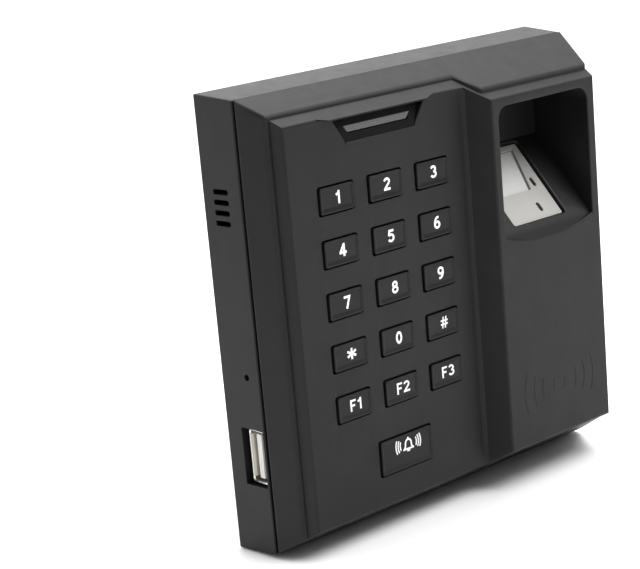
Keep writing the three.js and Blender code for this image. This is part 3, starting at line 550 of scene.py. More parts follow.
def bump(nodes, height, strength, distance, below=None):
    made = node_of(nodes, "ShaderNodeBump", Strength=strength, Distance=distance)
    connect(height, made.inputs["Height"])
    if below:
        connect(below, made.inputs["Normal"])
    return made.outputs["Normal"]


def moulded_plastic(name, dark, light, rough, grain=7000, grain_strength=0.25, specular=0.5):
    """Injection-moulded plastic with a fine spark-eroded texture, slight mottling and handling marks."""
    material, nodes, shader = new_material(name)
    mottle = noise(nodes, scale=90, detail=4, roughness=0.6)
    connect(blend_colour(nodes, mottle, dark, light), shader.inputs["Base Color"])
    marks = noise(nodes, scale=260, detail=3, roughness=0.65, stretch=(1, 1, 0.4))
    connect(ramp(nodes, marks, *rough), shader.inputs["Roughness"])
    fine = noise(nodes, grain, roughness=0.6)
    wavy = noise(nodes, scale=120, detail=1)
    normal = bump(nodes, wavy, strength=0.06, distance=4e-4)
    normal = bump(nodes, fine, grain_strength, distance=4e-5, below=normal)
    connect(normal, shader.inputs["Normal"])
    shader.inputs["Specular IOR Level"].default_value = specular
    return material


def brushed_metal(name, dark, light, rough):
    """Sheet metal with rolling marks and a faint spangle."""
    material, nodes, shader = new_material(name)
    lines = noise(nodes, scale=2500, detail=3, roughness=0.6, stretch=(1, 1, 0.04))
    spangle = noise(nodes, scale=220, roughness=0.7)
    connect(blend_colour(nodes, spangle, dark, light), shader.inputs["Base Color"])
    connect(ramp(nodes, lines, *rough), shader.inputs["Roughness"])
    connect(bump(nodes, lines, strength=0.15, distance=3e-5), shader.inputs["Normal"])
    shader.inputs["Metallic"].default_value = 1
    return material


def circuit_board(name):
    """Green solder mask over glass weave, with darker copper pours showing through."""
    material, nodes, shader = new_material(name)
    pour = noise(nodes, scale=420, detail=1, roughness=0.3)
    mask = blend_colour(nodes, pour, (0.005, 0.055, 0.017), (0.008, 0.08, 0.025), 0.47, 0.5)
    connect(mask, shader.inputs["Base Color"])
    weave = noise(nodes, scale=2600)
    connect(ramp(nodes, weave, low=0.3, high=0.45), shader.inputs["Roughness"])
    normal = bump(nodes, pour, strength=0.25, distance=3e-5)
    normal = bump(nodes, weave, strength=0.15, distance=2e-5, below=normal)
    connect(normal, shader.inputs["Normal"])
    return material


def clear_plastic(name, tint, rough, clear):
    """A light guide or window, with a faint frost. clear is the share of light that passes."""
    material, nodes, shader = new_material(name)
    frost = noise(nodes, scale=3000)
    connect(ramp(nodes, frost, *rough), shader.inputs["Roughness"])
    lighter = [min(1, part * 1.08) for part in tint]
    connect(blend_colour(nodes, frost, tint, lighter), shader.inputs["Base Color"])
    shader.inputs["Transmission Weight"].default_value = clear
    shader.inputs["IOR"].default_value = 1.49
    return material


# Linear colours: dark and light, then the range of roughness.
CASING = moulded_plastic(
    "casing_black_plastic", (0.0066, 0.0064, 0.0066), (0.0094, 0.0090, 0.0093), (0.44, 0.51), specular=0.245)
KEY_CAP = moulded_plastic(
    "key_black_plastic", (0.0060, 0.0060, 0.0065), (0.0088, 0.0088, 0.0094), (0.36, 0.46),
    grain=9000, grain_strength=0.15, specular=0.21)
# Near-black, low-sheen plastic for the sheet in the status recess: painted shade, darker than the casing
# around it.
PAINTED_SHADE_BLACK = moulded_plastic(
    "recess_painted_shade_plastic", (0.0022, 0.0022, 0.0024), (0.0036, 0.0036, 0.0038), (0.5, 0.62), specular=0.1)
INK = moulded_plastic("white_legend_ink", (0.80, 0.80, 0.82), (0.90, 0.90, 0.92), (0.45, 0.6), grain=5000)
WHITE = moulded_plastic("white_plastic", (0.66, 0.645, 0.62), (0.72, 0.705, 0.68), (0.35, 0.5), grain=4000)
SENSOR_WHITE = moulded_plastic(
    "sensor_white_plastic", (0.355, 0.35, 0.33), (0.385, 0.38, 0.36), (0.35, 0.5), grain=4000)
GLOSS_BLACK = moulded_plastic("chip_black_resin", (0.010, 0.010, 0.011), (0.016, 0.016, 0.017), (0.4, 0.6))
BLUE = moulded_plastic(
    "relay_blue_plastic", (0.010, 0.075, 0.28), (0.013, 0.09, 0.33), (0.3, 0.42), grain=4000)
RUBBER = moulded_plastic("grey_silicone", (0.14, 0.145, 0.15), (0.18, 0.185, 0.19), (0.65, 0.8), grain=3000)
BOARD = circuit_board("green_circuit_board")
ZINC = brushed_metal("zinc_plated_steel", (0.17, 0.175, 0.185), (0.27, 0.275, 0.285), (0.3, 0.46))
NICKEL = brushed_metal("nickel_plated_steel", (0.62, 0.61, 0.58), (0.74, 0.73, 0.7), (0.18, 0.3))
SPRING = moulded_plastic("spring_leaf_satin", (0.52, 0.50, 0.40), (0.62, 0.60, 0.49), (0.3, 0.4), grain=4000)
COPPER = brushed_metal("copper_wire", (0.66, 0.27, 0.14), (0.78, 0.36, 0.2), (0.25, 0.4))
GOLD = brushed_metal("gold_contact", (0.8, 0.58, 0.22), (0.88, 0.66, 0.3), (0.15, 0.28))
GLASS = clear_plastic("sensor_glass", (0.66, 0.66, 0.645), (0.08, 0.16), 0.05)
LIGHT_GUIDE = clear_plastic("status_light_guide", (0.060, 0.060, 0.062), (0.22, 0.27), 0.0)
SMOKED = clear_plastic("smoked_window", (0.012, 0.011, 0.012), (0.12, 0.2), 0.1)
GREEN_LED = clear_plastic("green_led", (0.12, 0.55, 0.16), (0.15, 0.25), 0.5)
RED_LED = clear_plastic("red_led", (0.6, 0.06, 0.04), (0.15, 0.25), 0.5)


# ---- front casing

def bevels_at(depth, offset=0):
    gained = depth - PARTING_DEPTH
    return depth, {side: gained / slope + offset for side, slope in BEVEL_SLOPE.items()}


def face_plan(panel, tower, shift):
    """The face's plan: keypad panel, slanted wall and tower."""
    root = FOOT[0] - WALL_LEAN * (FOOT[1] - PANEL_DEPTH)
    return [
        (-FAR, PARTING_DEPTH), (-FAR, panel), (root - shift, panel),
        (TOWER_LEFT - shift, tower), (FAR, tower), (FAR, PARTING_DEPTH),
    ]


def is_front(normal):
    """True for the faces that make up the face of the terminal, the slanted wall included."""
    return normal.y < -0.35 and abs(normal.z) < 0.1 and normal.x < 0.1


def rounds_the_face(edge, first, second):
    return edge.is_convex and (is_front(first) or is_front(second))


def cover_outside():
    ledge = overlap(
        tapered_block(bevels_at(PARTING_DEPTH), bevels_at(TOWER_DEPTH)),
        plan_prism(face_plan(LEDGE_DEPTH, TOWER_LEDGE_DEPTH, LEDGE_SHIFT)),
    )
    round_edges(ledge, LEDGE_ROUND, rounds_the_face)
    block = overlap(
        tapered_block((PARTING_DEPTH, BLOCK_INSET), (TOWER_DEPTH, BLOCK_INSET_AT_TOWER)),
        plan_prism(face_plan(PANEL_DEPTH, TOWER_DEPTH, 0)),
    )
    round_edges(block, BLOCK_ROUND, rounds_the_face)
    return join(ledge, block, foot_swell(), brow())


def foot_swell():
    """The low swell along the foot of the slanted wall."""
    start, stop = PANEL_RIGHT - SWELL["left"], FOOT[0] + SWELL["right"]
    crest = []
    for t in fractions(8):
        crest.append((start + (stop - start) * t, PANEL_DEPTH + (FOOT[1] - PANEL_DEPTH) * t * t))
    root = PANEL_DEPTH - SWELL["root"]
    plan = [(start, root), *crest, (FOOT[0] + SWELL["root"], root)]
    end = HALF - (PANEL_DEPTH - PARTING_DEPTH) / SWELL["end_slope"] - SWELL["end_inset"]
    return plan_prism(plan, (-end, end))


def brow():
    """The brow over the status recess, which carries the slope of the block's upper side on."""
    points = []
    for side in (-1, 1):
        wide, narrow = BROW["x"] + side * BROW["half_top"], BROW["x"] + side * BROW["half_edge"]
        points += [(wide, -BROW["root"], BROW["top"]), (wide, -PANEL_DEPTH, BROW["top"])]
        points += [(narrow, -BROW["depth"], BROW["edge"]), (narrow, -BROW["root"], RECESS["top"])]
    return round_edges(hull(points), BROW["round"], lambda edge, a, b: min(a.y, b.y) < -0.2, segments=3)


def cover_inside():
    """The room behind the face, which leaves a wall of even thickness."""
    start = PARTING_DEPTH - 1
    back, tower_back = PANEL_DEPTH - WALL, TOWER_DEPTH - WALL

    def wall_x(depth):
        return TOWER_LEFT + WALL_ACROSS - WALL_LEAN * (TOWER_DEPTH - depth)

    plan = [(-FAR, start), (-FAR, back), (wall_x(back), back),
            (wall_x(tower_back), tower_back), (FAR, tower_back), (FAR, start)]
    block = tapered_block(bevels_at(start, SHELL_INSET), bevels_at(TOWER_DEPTH, SHELL_INSET))
    return overlap(block, plan_prism(plan))


def cover_tongue():
    back, top = TONGUE["back"], PARTING_DEPTH + TONGUE["lap"]
    outside, inside = TONGUE["inset"], TONGUE["inset"] + TONGUE["thick"]
    outer = tapered_block((back, square(outside)), (top, square(outside)))
    inner = tapered_block((back - 1, square(inside)), (top + 0.2, square(inside)))
    half = USB_CUTOUT["size"][1] / 2 + TONGUE["notch_gap"]
    rim = PARTING_DEPTH - PARTING_GROOVE
    notch = slab((-FAR, -HALF + TONGUE["notch"]), (0, rim), (USB_Z - half, USB_Z + half))
    return cut(outer, inner, notch)


def ramp_z(depth):
    return RAMP_FRONT_Z + RAMP_SLOPE * (TOWER_DEPTH - depth)


def well_outline(grow=0):
    """The mouth of the well: round upper corners and a lip that sags like a smile."""
    left, right = WELL_X[0] - grow, WELL_X[1] + grow
    middle, half = (left + right) / 2, (right - left) / 2
    side_bottom = WELL_SIDE_BOTTOM - grow
    lip = []
    for fraction in fractions(16):
        t = 2 * fraction - 1
        lip.append((middle + half * t, side_bottom - WELL_LIP_SAG * (1 - t * t)))
    radius, top = WELL_CORNER + grow, WELL_TOP + grow
    corners = arc((right - radius, top - radius), (radius, radius), 0, 90, 10)
    corners += arc((left + radius, top - radius), (radius, radius), 90, 180, 10)
    return lip + corners


def well_floor():
    """The side view of the well's hollow, with the ramp rolling over into the lip."""
    lip_z = WELL_SIDE_BOTTOM - WELL_LIP_SAG
    fall = (ramp_z(LIP_DEPTH) - lip_z) / (TOWER_DEPTH - LIP_DEPTH)
    behind, ahead = LIP_ROLL
    start = Vector((LIP_DEPTH - behind, ramp_z(LIP_DEPTH - behind)))
    bend = Vector((LIP_DEPTH, ramp_z(LIP_DEPTH)))
    stop = Vector((LIP_DEPTH + ahead, ramp_z(LIP_DEPTH) - fall * ahead))
    roll = [start * (1 - t) ** 2 + bend * 2 * t * (1 - t) + stop * t * t for t in fractions(8)]
    return [
        (WELL_BACK_DEPTH, ramp_z(WELL_BACK_DEPTH)), *[tuple(point) for point in roll],
        (TOWER_DEPTH + 1, lip_z - fall), (TOWER_DEPTH + 1, FAR), (WELL_BACK_DEPTH, FAR),
    ]


def well_hollow():
    mouth = flared_prism(well_outline, TOWER_DEPTH, WELL_RIM, WELL_BACK_DEPTH)
    hollow = overlap(mouth, side_prism(well_floor(), (WELL_X[0] - 2, WELL_X[1] + 2)))
    return cut(hollow, ramp_fillet(-1), ramp_fillet(1))


def ramp_fillet(side):
    """The hollow corner between the ramp and a side wall, as a bar that runs up the ramp."""
    wall = (WELL_X[0] if side < 0 else WELL_X[1]) - SENSOR_X
    wide, tall = WELL_FILLET[side]
    curve = arc((wall - side * wide, SENSOR_SUNK + tall), (wide, tall), -90, -90 + side * 90, 12)
    section = [(wall + side * 2, SENSOR_SUNK - 1), (wall - side * wide, SENSOR_SUNK - 1), *curve,
               (wall + side * 2, SENSOR_SUNK + tall)]
    bar = prism(section, WELL_FILLET_RUN)
    bar.data.transform(sensor_frame() @ BAR_UP_RAMP)
    return bar


def well_walls():
    """The block that the well is cut into: walls round it and a plate under its ramp and lip."""
    back, front = WELL_BACK_DEPTH - WELL_WALL, TOWER_DEPTH - 0.5
    turn = LIP_DEPTH - RAMP_TURN[0]
    top = WELL_TOP + WELL_WALL
    side = [(front, RAMP_FRONT_Z - RAMP_THICK - RAMP_TURN[1]), (turn, ramp_z(turn) - RAMP_THICK),
            (back, ramp_z(back) - RAMP_THICK), (back, top), (front, top)]
    return side_prism(side, (WELL_X[0] - WELL_WALL, WELL_X[1] + WELL_WALL))


def sensor_frame():
    """The sensor's own frame: x across, y up the ramp and z out of the sensor's face."""
    angle = atan(RAMP_SLOPE)
    origin_z = ramp_z(SENSOR_START_DEPTH) - SENSOR_SUNK / cos(angle)
    return Matrix.Translation((SENSOR_X, -SENSOR_START_DEPTH, origin_z)) @ Matrix.Rotation(angle, 4, "X")


# Turns a prism of (x, z) along the depth into one of (x, out of the sensor) along the ramp's rise.
BAR_UP_RAMP = Matrix(((1, 0, 0, 0), (0, -1, 0, 0), (0, 0, 1, 0), (0, 0, 0, 1)))


def on_ramp(solid):
    """Moves a solid made around the front view's origin into the sensor's frame."""
    solid.data.transform(sensor_frame() @ Matrix.Rotation(radians(-90), 4, "X"))
    return solid


def sensor_opening():
    width, length = SENSOR_SIZE[0] + 2 * SENSOR_GAP, SENSOR_SIZE[1] + 2 * SENSOR_GAP

    def outline_at(grow):
        return rounded(width + 2 * grow, length + 2 * grow, SENSOR_CORNER + grow, (0, SENSOR_SIZE[1] / 2))

    return on_ramp(flared_prism(outline_at, SENSOR_SUNK, SENSOR_RIM, -SENSOR_HOLE_DEEP))


def trapezium(half_low, low, half_high, high):
    """A front view about the status light's middle."""
    return [(STATUS_X - half_low, low), (STATUS_X + half_low, low),
            (STATUS_X + half_high, high), (STATUS_X - half_high, high)]


def lens_outline(grow):
    low, high = LENS["bottom"] - grow, LENS["top"] + grow
    return trapezium(LENS["half_bottom"] + grow, low, LENS["half_top"] + grow, high)


def across_status(half):
    return STATUS_X - half, STATUS_X + half


def status_recess():
    """A trapezium whose floor slopes back to the brow, with a softened mouth."""
    bottom, top, floor_top = RECESS["bottom"], RECESS["top"], RECESS["floor_top_depth"]

    def outline_at(grow):
        return trapezium(RECESS["half_bottom"] + grow, bottom - grow, RECESS["half_top"] + grow, top)

    front = flared_prism(outline_at, PANEL_DEPTH, RECESS_RIM, floor_top - 1)
    side = [(PANEL_DEPTH + RECESS_RIM, bottom - 1), (PANEL_DEPTH - RECESS_STEP, bottom),
            (floor_top, top), (PANEL_DEPTH + 2, top)]
    return overlap(front, side_prism(side, across_status(RECESS_REACH)))


def recess_shade_sheet():
    """A thin near-black sheet on the sloping floor of the status recess: painted shade that makes the recess
    darker than the casing.
    """
    lift, thick = SHADE_SHEET["lift"], SHADE_SHEET["thick"]
    low, high = RECESS["bottom"] + SHADE_SHEET["gap"], RECESS["top"] - SHADE_SHEET["gap"]
    low_depth, high_depth = PANEL_DEPTH - RECESS_STEP, RECESS["floor_top_depth"]
    side = [(low_depth + lift, low), (low_depth + thick, low),
            (high_depth + thick, high), (high_depth + lift, high)]
    outline = trapezium(
        RECESS["half_bottom"] - SHADE_SHEET["side_gap"], low, RECESS["half_top"] - SHADE_SHEET["top_gap"], high)
    reach = (high_depth - 1, PANEL_DEPTH + 1)
    sheet = side_prism(side, across_status(RECESS_REACH))
    return cut(overlap(prism(outline, reach), sheet), prism(lens_outline(SHADE_SHEET["side_gap"]), reach))


def recess_ridge():
    """The thin raised line along the lower edge of the status recess."""
    middle, half = RECESS["bottom"] - RIDGE["half"], RIDGE["half"]
    section = arc((-PANEL_DEPTH, middle), (RIDGE["high"], half), 90, 270, 8)
    behind = -PANEL_DEPTH + RIDGE["sink"]
    section += [(behind, middle - RIDGE["foot"]), (behind, middle + RIDGE["foot"])]
    return prism(section, across_status(RECESS["half_bottom"] + RIDGE["past"]), "x")


def key_caps():
    """Each key's name with the centre and the size of its cap, from its CAD node."""
    for name in KEY_NAMES:
        low, high = box_mm("key_" + name)
        centre = ((low.x + high.x) / 2, (low.z + high.z) / 2)
        yield name, centre, (high.x - low.x - 2 * KEY_FLANGE, high.z - low.z - 2 * KEY_FLANGE)


def key_hole(centre, size):
    def outline_at(grow):
        wider = 2 * (KEY_CLEARANCE + grow)
        return rounded(size[0] + wider, size[1] + wider, KEY_CORNER + grow, centre)

    return flared_prism(outline_at, PANEL_DEPTH, KEY_HOLE_RIM, PANEL_DEPTH - WALL - 1, 3)


def cover_bosses():
    bosses = []
    for at in CASE_SCREW_AT:
        face = TOWER_DEPTH if at[0] > TOWER_LEFT else PANEL_DEPTH
        bosses.append(pin(at, (COVER_BOSS["start"], face - WALL + OVERLAP), COVER_BOSS["radius"]))
    return bosses


def rear_room():
    """The room inside the rear shell that the front casing may use."""
    inset = square(SIDE_WALL + 0.3)
    return tapered_block((COVER_BOSS["start"], inset), (PARTING_DEPTH + OVERLAP, inset))


def screw_holes(part, sides=HOLE_SIDES):
    """Cutters from the wall for the four case screws."""
    radius, end = CASE_SCREW[part]
    return together([pin(at, (0, end), radius, sides) for at in CASE_SCREW_AT])


def front_casing():
    casing = cut(cover_outside(), cover_inside())
    fixtures = join(well_walls(), *cover_bosses())
    fixtures = overlap(fixtures, join(cover_outside(), rear_room()))
    backing = slab(
        across_status(RECESS_BACKING["half"]),
        (-LENS_LOW.y - RECESS_BACKING["behind"], PANEL_DEPTH - WALL + OVERLAP),
        (RECESS_BACKING["bottom"], RECESS["top"] + RECESS_BACKING["above"]),
    )
    join(casing, cover_tongue(), fixtures, backing)
    lens_hole = prism(lens_outline(LENS_GAP), (LENS_HOLE_START, PANEL_DEPTH + 1))
    key_holes = [key_hole(centre, size) for _, centre, size in key_caps()]
    cut(casing, well_hollow(), sensor_opening(), status_recess(), lens_hole)
    cut(casing, screw_holes("pilot"), *key_holes, emblem_grooves())
    join(casing, recess_ridge())
    return piece(casing, "front_casing", CASING, "casing_black", "front_cover")


# ---- rear casing

def rear_casing():
    mouth = PARTING_DEPTH + 1
    outside = tapered_block((0, square(-DRAFT)), (PARTING_DEPTH - PARTING_GROOVE, square(0)))
    round_edges(outside, REAR_ROUND, convex, 3)
    inside = tapered_block((REAR_WALL_DEPTH, square(SIDE_WALL)), (mouth, square(SIDE_WALL)))
    rebate = tapered_block((REBATE["depth"], square(REBATE["inset"])), (mouth, square(REBATE["inset"])))
    side = PLATE_HIGH.x - PLATE_LOW.x + 2 * PLATE_GAP
    plate_recess = prism(rounded(side, side, PLATE_CORNER), (-1, REAR_RECESS_DEPTH))
    casing = cut(outside, inside, rebate, plate_recess)
    boss_radius, boss_end = CASE_SCREW["rear_boss"]
    join(casing, *[pin(at, (REAR_RECESS_DEPTH, boss_end), boss_radius) for at in CASE_SCREW_AT])
    half = CABLE_WINDOW["half_width"]
    window = slab((-half, half), (0, REAR_WALL_DEPTH + 1), CABLE_WINDOW["z"])
    cut(casing, screw_holes("head", 32), screw_holes("shank"))
    cut(casing, *side_openings(), lock_seat(), *plate_slots(), window)
    return piece(casing, "rear_casing", CASING, "casing_black", "rear_shell")


def left_wall_cutter(outline_at, rim):
    """A cutter through the left wall. Its outline is of depth and z, and its mouth has a rounded rim."""
    tool = flared_prism(outline_at, 0, rim, -SIDE_WALL - 2, 3)
    outward = Matrix(((0, 1, 0, -HALF - DRAFT), (-1, 0, 0, 0), (0, 0, 1, 0), (0, 0, 0, 1)))
    tool.data.transform(outward)
    return tool


def side_opening(size, corner, at, rim):
    """A cutter for a rounded opening of (along the depth, along z) in the left wall."""
    def outline_at(grow):
        return rounded(size[0] + 2 * grow, size[1] + 2 * grow, corner + grow, at)

    return left_wall_cutter(outline_at, rim)


def side_openings():
    back, front = VENTS["depth"]
    vent_size = (front - back, VENTS["height"])
    vents = [side_opening(vent_size, VENTS["corner"], ((back + front) / 2, z), SIDE_RIM) for z in VENTS["z"]]
    usb_at = (USB_CUTOUT["depth"], USB_Z)
    usb = side_opening(USB_CUTOUT["size"], USB_CUTOUT["corner"], usb_at, USB_CUTOUT["rim"])
    reset = side_opening([2 * RESET_RADIUS] * 2, RESET_RADIUS - 0.001, RESET_AT, SIDE_RIM)
    return [together(vents), usb, reset]


def lock_seat():
    """The seat and the hole of the wall plate's lock screw, which enters from below."""
    low, _ = box_mm("bracket_lock_screw")
    ends = {"seat_radius": low.z + LOCK_SCREW["head"], "shank_radius": -HALF + SIDE_WALL + 1}
    holes = []
    for name, end in ends.items():
        radius = LOCK_SCREW[name]
        holes.append(prism(oval((0, -LOCK_SCREW["depth"]), (radius, radius), 32), (-FAR, end), "z"))
    return join(*holes)


def plate_slots():
    return [slab(slot["x"], (-1, REAR_WALL_DEPTH + 1), slot["z"]) for slot in PLATE_SLOTS]


# ---- keys and their legends

def cap_ring(size, centre, inset, radius, depth, lift=0.0):
    """A ring round a cap. lift raises the lower edge by that much more inset."""
    width, height = size[0] - 2 * inset, size[1] - 2 * inset - lift
    return at_depth(rounded(width, height, radius, (centre[0], centre[1] + lift / 2), 5), depth)


def key_cap(name, centre, size):
    """A cap with a rounded rim round a shallow dish whose lower side slopes more gently, on a flange."""
    face = PANEL_DEPTH + KEY_PROUD
    flange_front = PANEL_DEPTH - WALL - 0.1
    rings = [cap_ring(size, centre, 0, KEY_CORNER, flange_front - 0.2)]
    for t in fractions(4):
        turn = radians(90 * t)
        inset = KEY_EDGE * (1 - cos(turn))
        rings.append(cap_ring(size, centre, inset, KEY_CORNER - inset, face - KEY_EDGE * (1 - sin(turn))))
    for inset, corner, deep, lift in KEY_DISH_RINGS:
        rings.append(cap_ring(size, centre, inset, corner, face - deep, lift))
    outline = rounded(size[0] + 2 * KEY_FLANGE, size[1] + 2 * KEY_FLANGE, 0.4, centre)
    cap = join(loft(rings), prism(outline, (flange_front - KEY_FLANGE_THICK, flange_front)))
    return piece(cap, "cap_" + name, KEY_CAP, "key_black", "key_" + name)


def ribbon(path, width, depth, closed=False):
    """A flat band of even width along a path in the front view."""
    points = [Vector(point) for point in path]
    count = len(points)
    rings = []
    for i, point in enumerate(points):
        before = point - points[i - 1] if closed or i else None
        after = points[(i + 1) % count] - point if closed or i < count - 1 else None
        ways = [way.normalized() for way in (before, after) if way is not None]
        along = sum(ways, Vector((0, 0))).normalized()
        reach = width / 2 / max(0.5, along.dot(ways[0]))
        across = Vector((-along.y, along.x)) * reach
        left, right = point + across, point - across
        rings.append([(left.x, -depth[0], left.y), (left.x, -depth[1], left.y),
                      (right.x, -depth[1], right.y), (right.x, -depth[0], right.y)])
    return loft(rings, closed)


# Glyphs are strokes on a height of 1, about their own centre: (points, closed), which may add a width.

def line(*points):
    return list(points), False


def one(x=0.0):
    flag = line((x - 0.2, 0.2), (x - 0.02, 0.28), (x + 0.05, 0.42))
    return [flag, line((x + 0.05, 0.5), (x + 0.05, -0.5))]


def two(x=0.0):
    top = arc((x - 0.01, 0.19), (0.215, 0.215), 168, -32, 12)
    return [line(*top, (x - 0.2, -0.37)), line((x - 0.3, -0.405), (x + 0.3, -0.405))]


def three(x=0.0):
    upper = arc((x - 0.02, 0.2), (0.2, 0.205), 158, -88, 14)
    lower = arc((x - 0.01, -0.19), (0.225, 0.215), 88, -158, 14)
    return [line(*upper), line(*lower)]


def letter_f(x):
    return [line((x - 0.16, -0.5), (x - 0.16, 0.5)), line((x - 0.2, 0.405), (x + 0.27, 0.405)),
            line((x - 0.2, -0.01), (x + 0.2, -0.01))]


def six(flip=1):
    bowl = oval((0.0, flip * -0.17), (0.215, 0.235))
    stem = [(flip * x, flip * z) for x, z in arc((0.075, -0.12), (0.29, 0.53), 186, 72, 12)]
    return [(bowl, True), line(*stem)]


def spokes(reach):
    lines = []
    for angle in (90, 30, 150):
        x, z = reach * cos(radians(angle)), reach * sin(radians(angle))
        lines.append(line((-x, -z), (x, z)))
    return lines


GLYPHS = {
    "1": one(),
    "2": two(),
    "3": three(),
    "4": [line((0.1, -0.5), (0.1, 0.5)), line((0.1, 0.44), (-0.24, -0.2)), line((-0.31, -0.2), (0.31, -0.2))],
    "5": [line((0.25, 0.405), (-0.13, 0.405), (-0.19, 0.02)),
          line(*arc((-0.01, -0.15), (0.235, 0.255), 140, -152, 16))],
    "6": six(),
    "7": [line((-0.29, 0.405), (0.21, 0.405), (-0.07, -0.5))],
    "8": [(oval((0, 0.215), (0.175, 0.19)), True), (oval((0, -0.19), (0.215, 0.215)), True)],
    "9": six(-1),
    "0": [(oval((0, 0), (0.21, 0.405)), True)],
    "star": spokes(0.44),
    "f1": letter_f(-0.3) + one(0.36),
    "f2": letter_f(-0.34) + two(0.36),
    "f3": letter_f(-0.34) + three(0.36),
}


def legend(name, centre, strokes, shape):
    """Strokes printed on the floor of a key's dish."""
    depth = PANEL_DEPTH + KEY_PROUD - KEY_DISH
    span = (depth - INK_ROOT, depth + INK_THICK)
    middle = (centre[0] + LEGEND_SHIFT[0], centre[1] + LEGEND_SHIFT[1])
    across, up = shape["size"]
    bands = []
    for points, closed, *own_width in strokes:
        path = [(middle[0] + x * across, middle[1] + z * up) for x, z in points]
        width = own_width[0] if own_width else shape["stroke"]
        bands.append(ribbon(path, width, span, closed))
    ink = join(bands[0], *bands[1:])
    return piece(ink, "legend_" + name, INK, "white_plastic", body=BODY_OF["key_" + name])


def hash_strokes():
    lines = []
    for side in (-1, 1):
        lines.append(line((side * 0.13 - 0.06, -0.47), (side * 0.13 + 0.06, 0.47)))
        lines.append(line((-0.34, side * 0.15), (0.34, side * 0.15)))
    return lines


def bell_strokes():
    """An outlined ringing bell: dome, base line, clapper and close-set sound waves on each side."""
    shoulders = arc((0, 0.06), (0.25, 0.3), 180, 0, 14)
    dome = line((-0.36, -0.24), (-0.27, -0.12), *shoulders, (0.27, -0.12), (0.36, -0.24))
    base = line((-0.46, -0.28), (0.46, -0.28))
    lines = [dome, base, line((0, 0.34), (0, 0.5)), line((-0.12, -0.4), (0.12, -0.4))]
    for reach, half_angle in BELL_WAVES:
        for side in (0, 180):
            wave = arc((0, 0.04), (reach, reach), side - half_angle, side + half_angle, 8)
            lines.append((*line(*wave), WAVE_STROKE))
    return lines


def legend_of(name):
    if name == "bell":
        return bell_strokes(), BELL
    if name == "hash":
        return hash_strokes(), HASH
    return GLYPHS[name], FUNCTION if name.startswith("f") else DIGIT


def keypad():
    for name, centre, size in key_caps():
        key_cap(name, centre, size)
        strokes, shape = legend_of(name)
        if name == "bell":
            centre = (centre[0] + BELL_SHIFT[0], centre[1] + BELL_SHIFT[1])
        legend(name, centre, strokes, shape)


# ---- status light, emblem, sensor

def status_light():
    rings = []
    front = -LENS_LOW.y
    for behind, inset in [(front + LENS_HIGH.y, 0), *LENS_EDGE]:
        rings.append(at_depth(lens_outline(-inset), front - behind))
    piece(loft(rings), "status_light_guide", LIGHT_GUIDE, "status_lens", "status_lens")
    cover = BODY_OF["front_cover"]
    # The dark sheet on the recess floor is painted shade that darkens the recess.
    piece(recess_shade_sheet(), "status_recess_painted_shade", PAINTED_SHADE_BLACK, "casing_black", body=cover)


def emblem_grooves():
    """Cutters for a generic mark of a card and radio waves, a hair deep in the tower's face."""
    span = (TOWER_DEPTH - EMBLEM_DEEP, TOWER_DEPTH + 1)
    card = rounded(*EMBLEM_CARD["size"], EMBLEM_CARD["corner"], EMBLEM_AT)
    bands = [ribbon(card, EMBLEM_CARD["stroke"], span, True)]
    half_angle = EMBLEM_WAVES["half_angle"]
    for reach in EMBLEM_WAVES["reach"]:
        for middle in (0, 180):
            path = arc(EMBLEM_AT, (reach, reach), middle - half_angle, middle + half_angle, 12)
            bands.append(ribbon(path, EMBLEM_WAVES["stroke"], span))
    return together(bands)


def sensor_unit():
    """The white housing with its window, and a dark finger detector in each of its two slots."""
    refined("sensor_housing", SENSOR_WHITE, "white_plastic", 0.18, 3)
    refined("sensor_window", GLASS, "sensor_glass", 0.1)
    housing = BODY_OF["sensor_housing"]
    for i, at in enumerate(SENSOR_SLOTS_AT):
        window = on_ramp(prism(rounded(*SENSOR_SLOT_SIZE, 0.55, at), SENSOR_SLOT_SPAN))
        piece(window, f"finger_detector_{i + 1}", SMOKED, "chip_black", body=housing)


# ---- USB socket

def usb_socket():
    """The folded shell with its flared mouth, the tongue, the grip leaf and the contacts."""
    thick, tall = USB_HIGH.y - USB_LOW.y, USB_HIGH.z - USB_LOW.z
    middle = (-(USB_HIGH.y + USB_LOW.y) / 2, USB_Z)

    def ring(x, inset, radius):
        outline = rounded(thick - 2 * inset, tall - 2 * inset, radius, middle, 5)
        return [(x, -depth, z) for depth, z in outline]

    front, back = USB_LOW.x, USB_HIGH.x
    outer, inner = USB_CORNER
    rings = [
        ring(front, 0, outer), ring(back, 0, outer), ring(back, USB_SHEET, inner),
        ring(front + USB_MOUTH["flare"], USB_SHEET, inner),
        ring(front, USB_MOUTH["inset"], USB_MOUTH["corner"]),
    ]
    piece(loft(rings, True), "usb_socket_shell", NICKEL, "zinc_steel", "usb_shell")
    refined("usb_tongue", WHITE, "white_plastic", 0.15)
    usb_part(usb_spring(), "usb_spring_leaf", SPRING)
    for i in range(USB_CONTACT["count"]):
        usb_part(usb_contact(i), f"usb_contact_{i + 1}", GOLD)


def usb_part(solid, name, material):
    piece(round_edges(solid, 0.05, convex, 2), name, material, "zinc_steel", body=BODY_OF["usb_shell"])


def usb_spring():
    """The leaf inside the mouth, on the wall side, that grips a plug."""
    sheet = USB_HIGH.y - USB_SHEET
    bends = [(USB_LOW.x + along, sheet - away) for along, away in USB_SPRING]
    return prism(bends, (USB_Z - USB_SPRING_HALF, USB_Z + USB_SPRING_HALF), "z")


def usb_contact(i):
    """A contact on the face of the tongue that looks away from the wall."""
    middle = USB_Z + (i - (USB_CONTACT["count"] - 1) / 2) * USB_CONTACT["pitch"]
    half = USB_CONTACT["width"] / 2
    return slab(
        [TONGUE_LOW.x + x for x in USB_CONTACT["x"]],
        (USB_BLADE_DEPTH - USB_CONTACT["sunk"], USB_BLADE_DEPTH + USB_CONTACT["proud"]),
        (middle - half, middle + half),
    )


# ---- other pieces

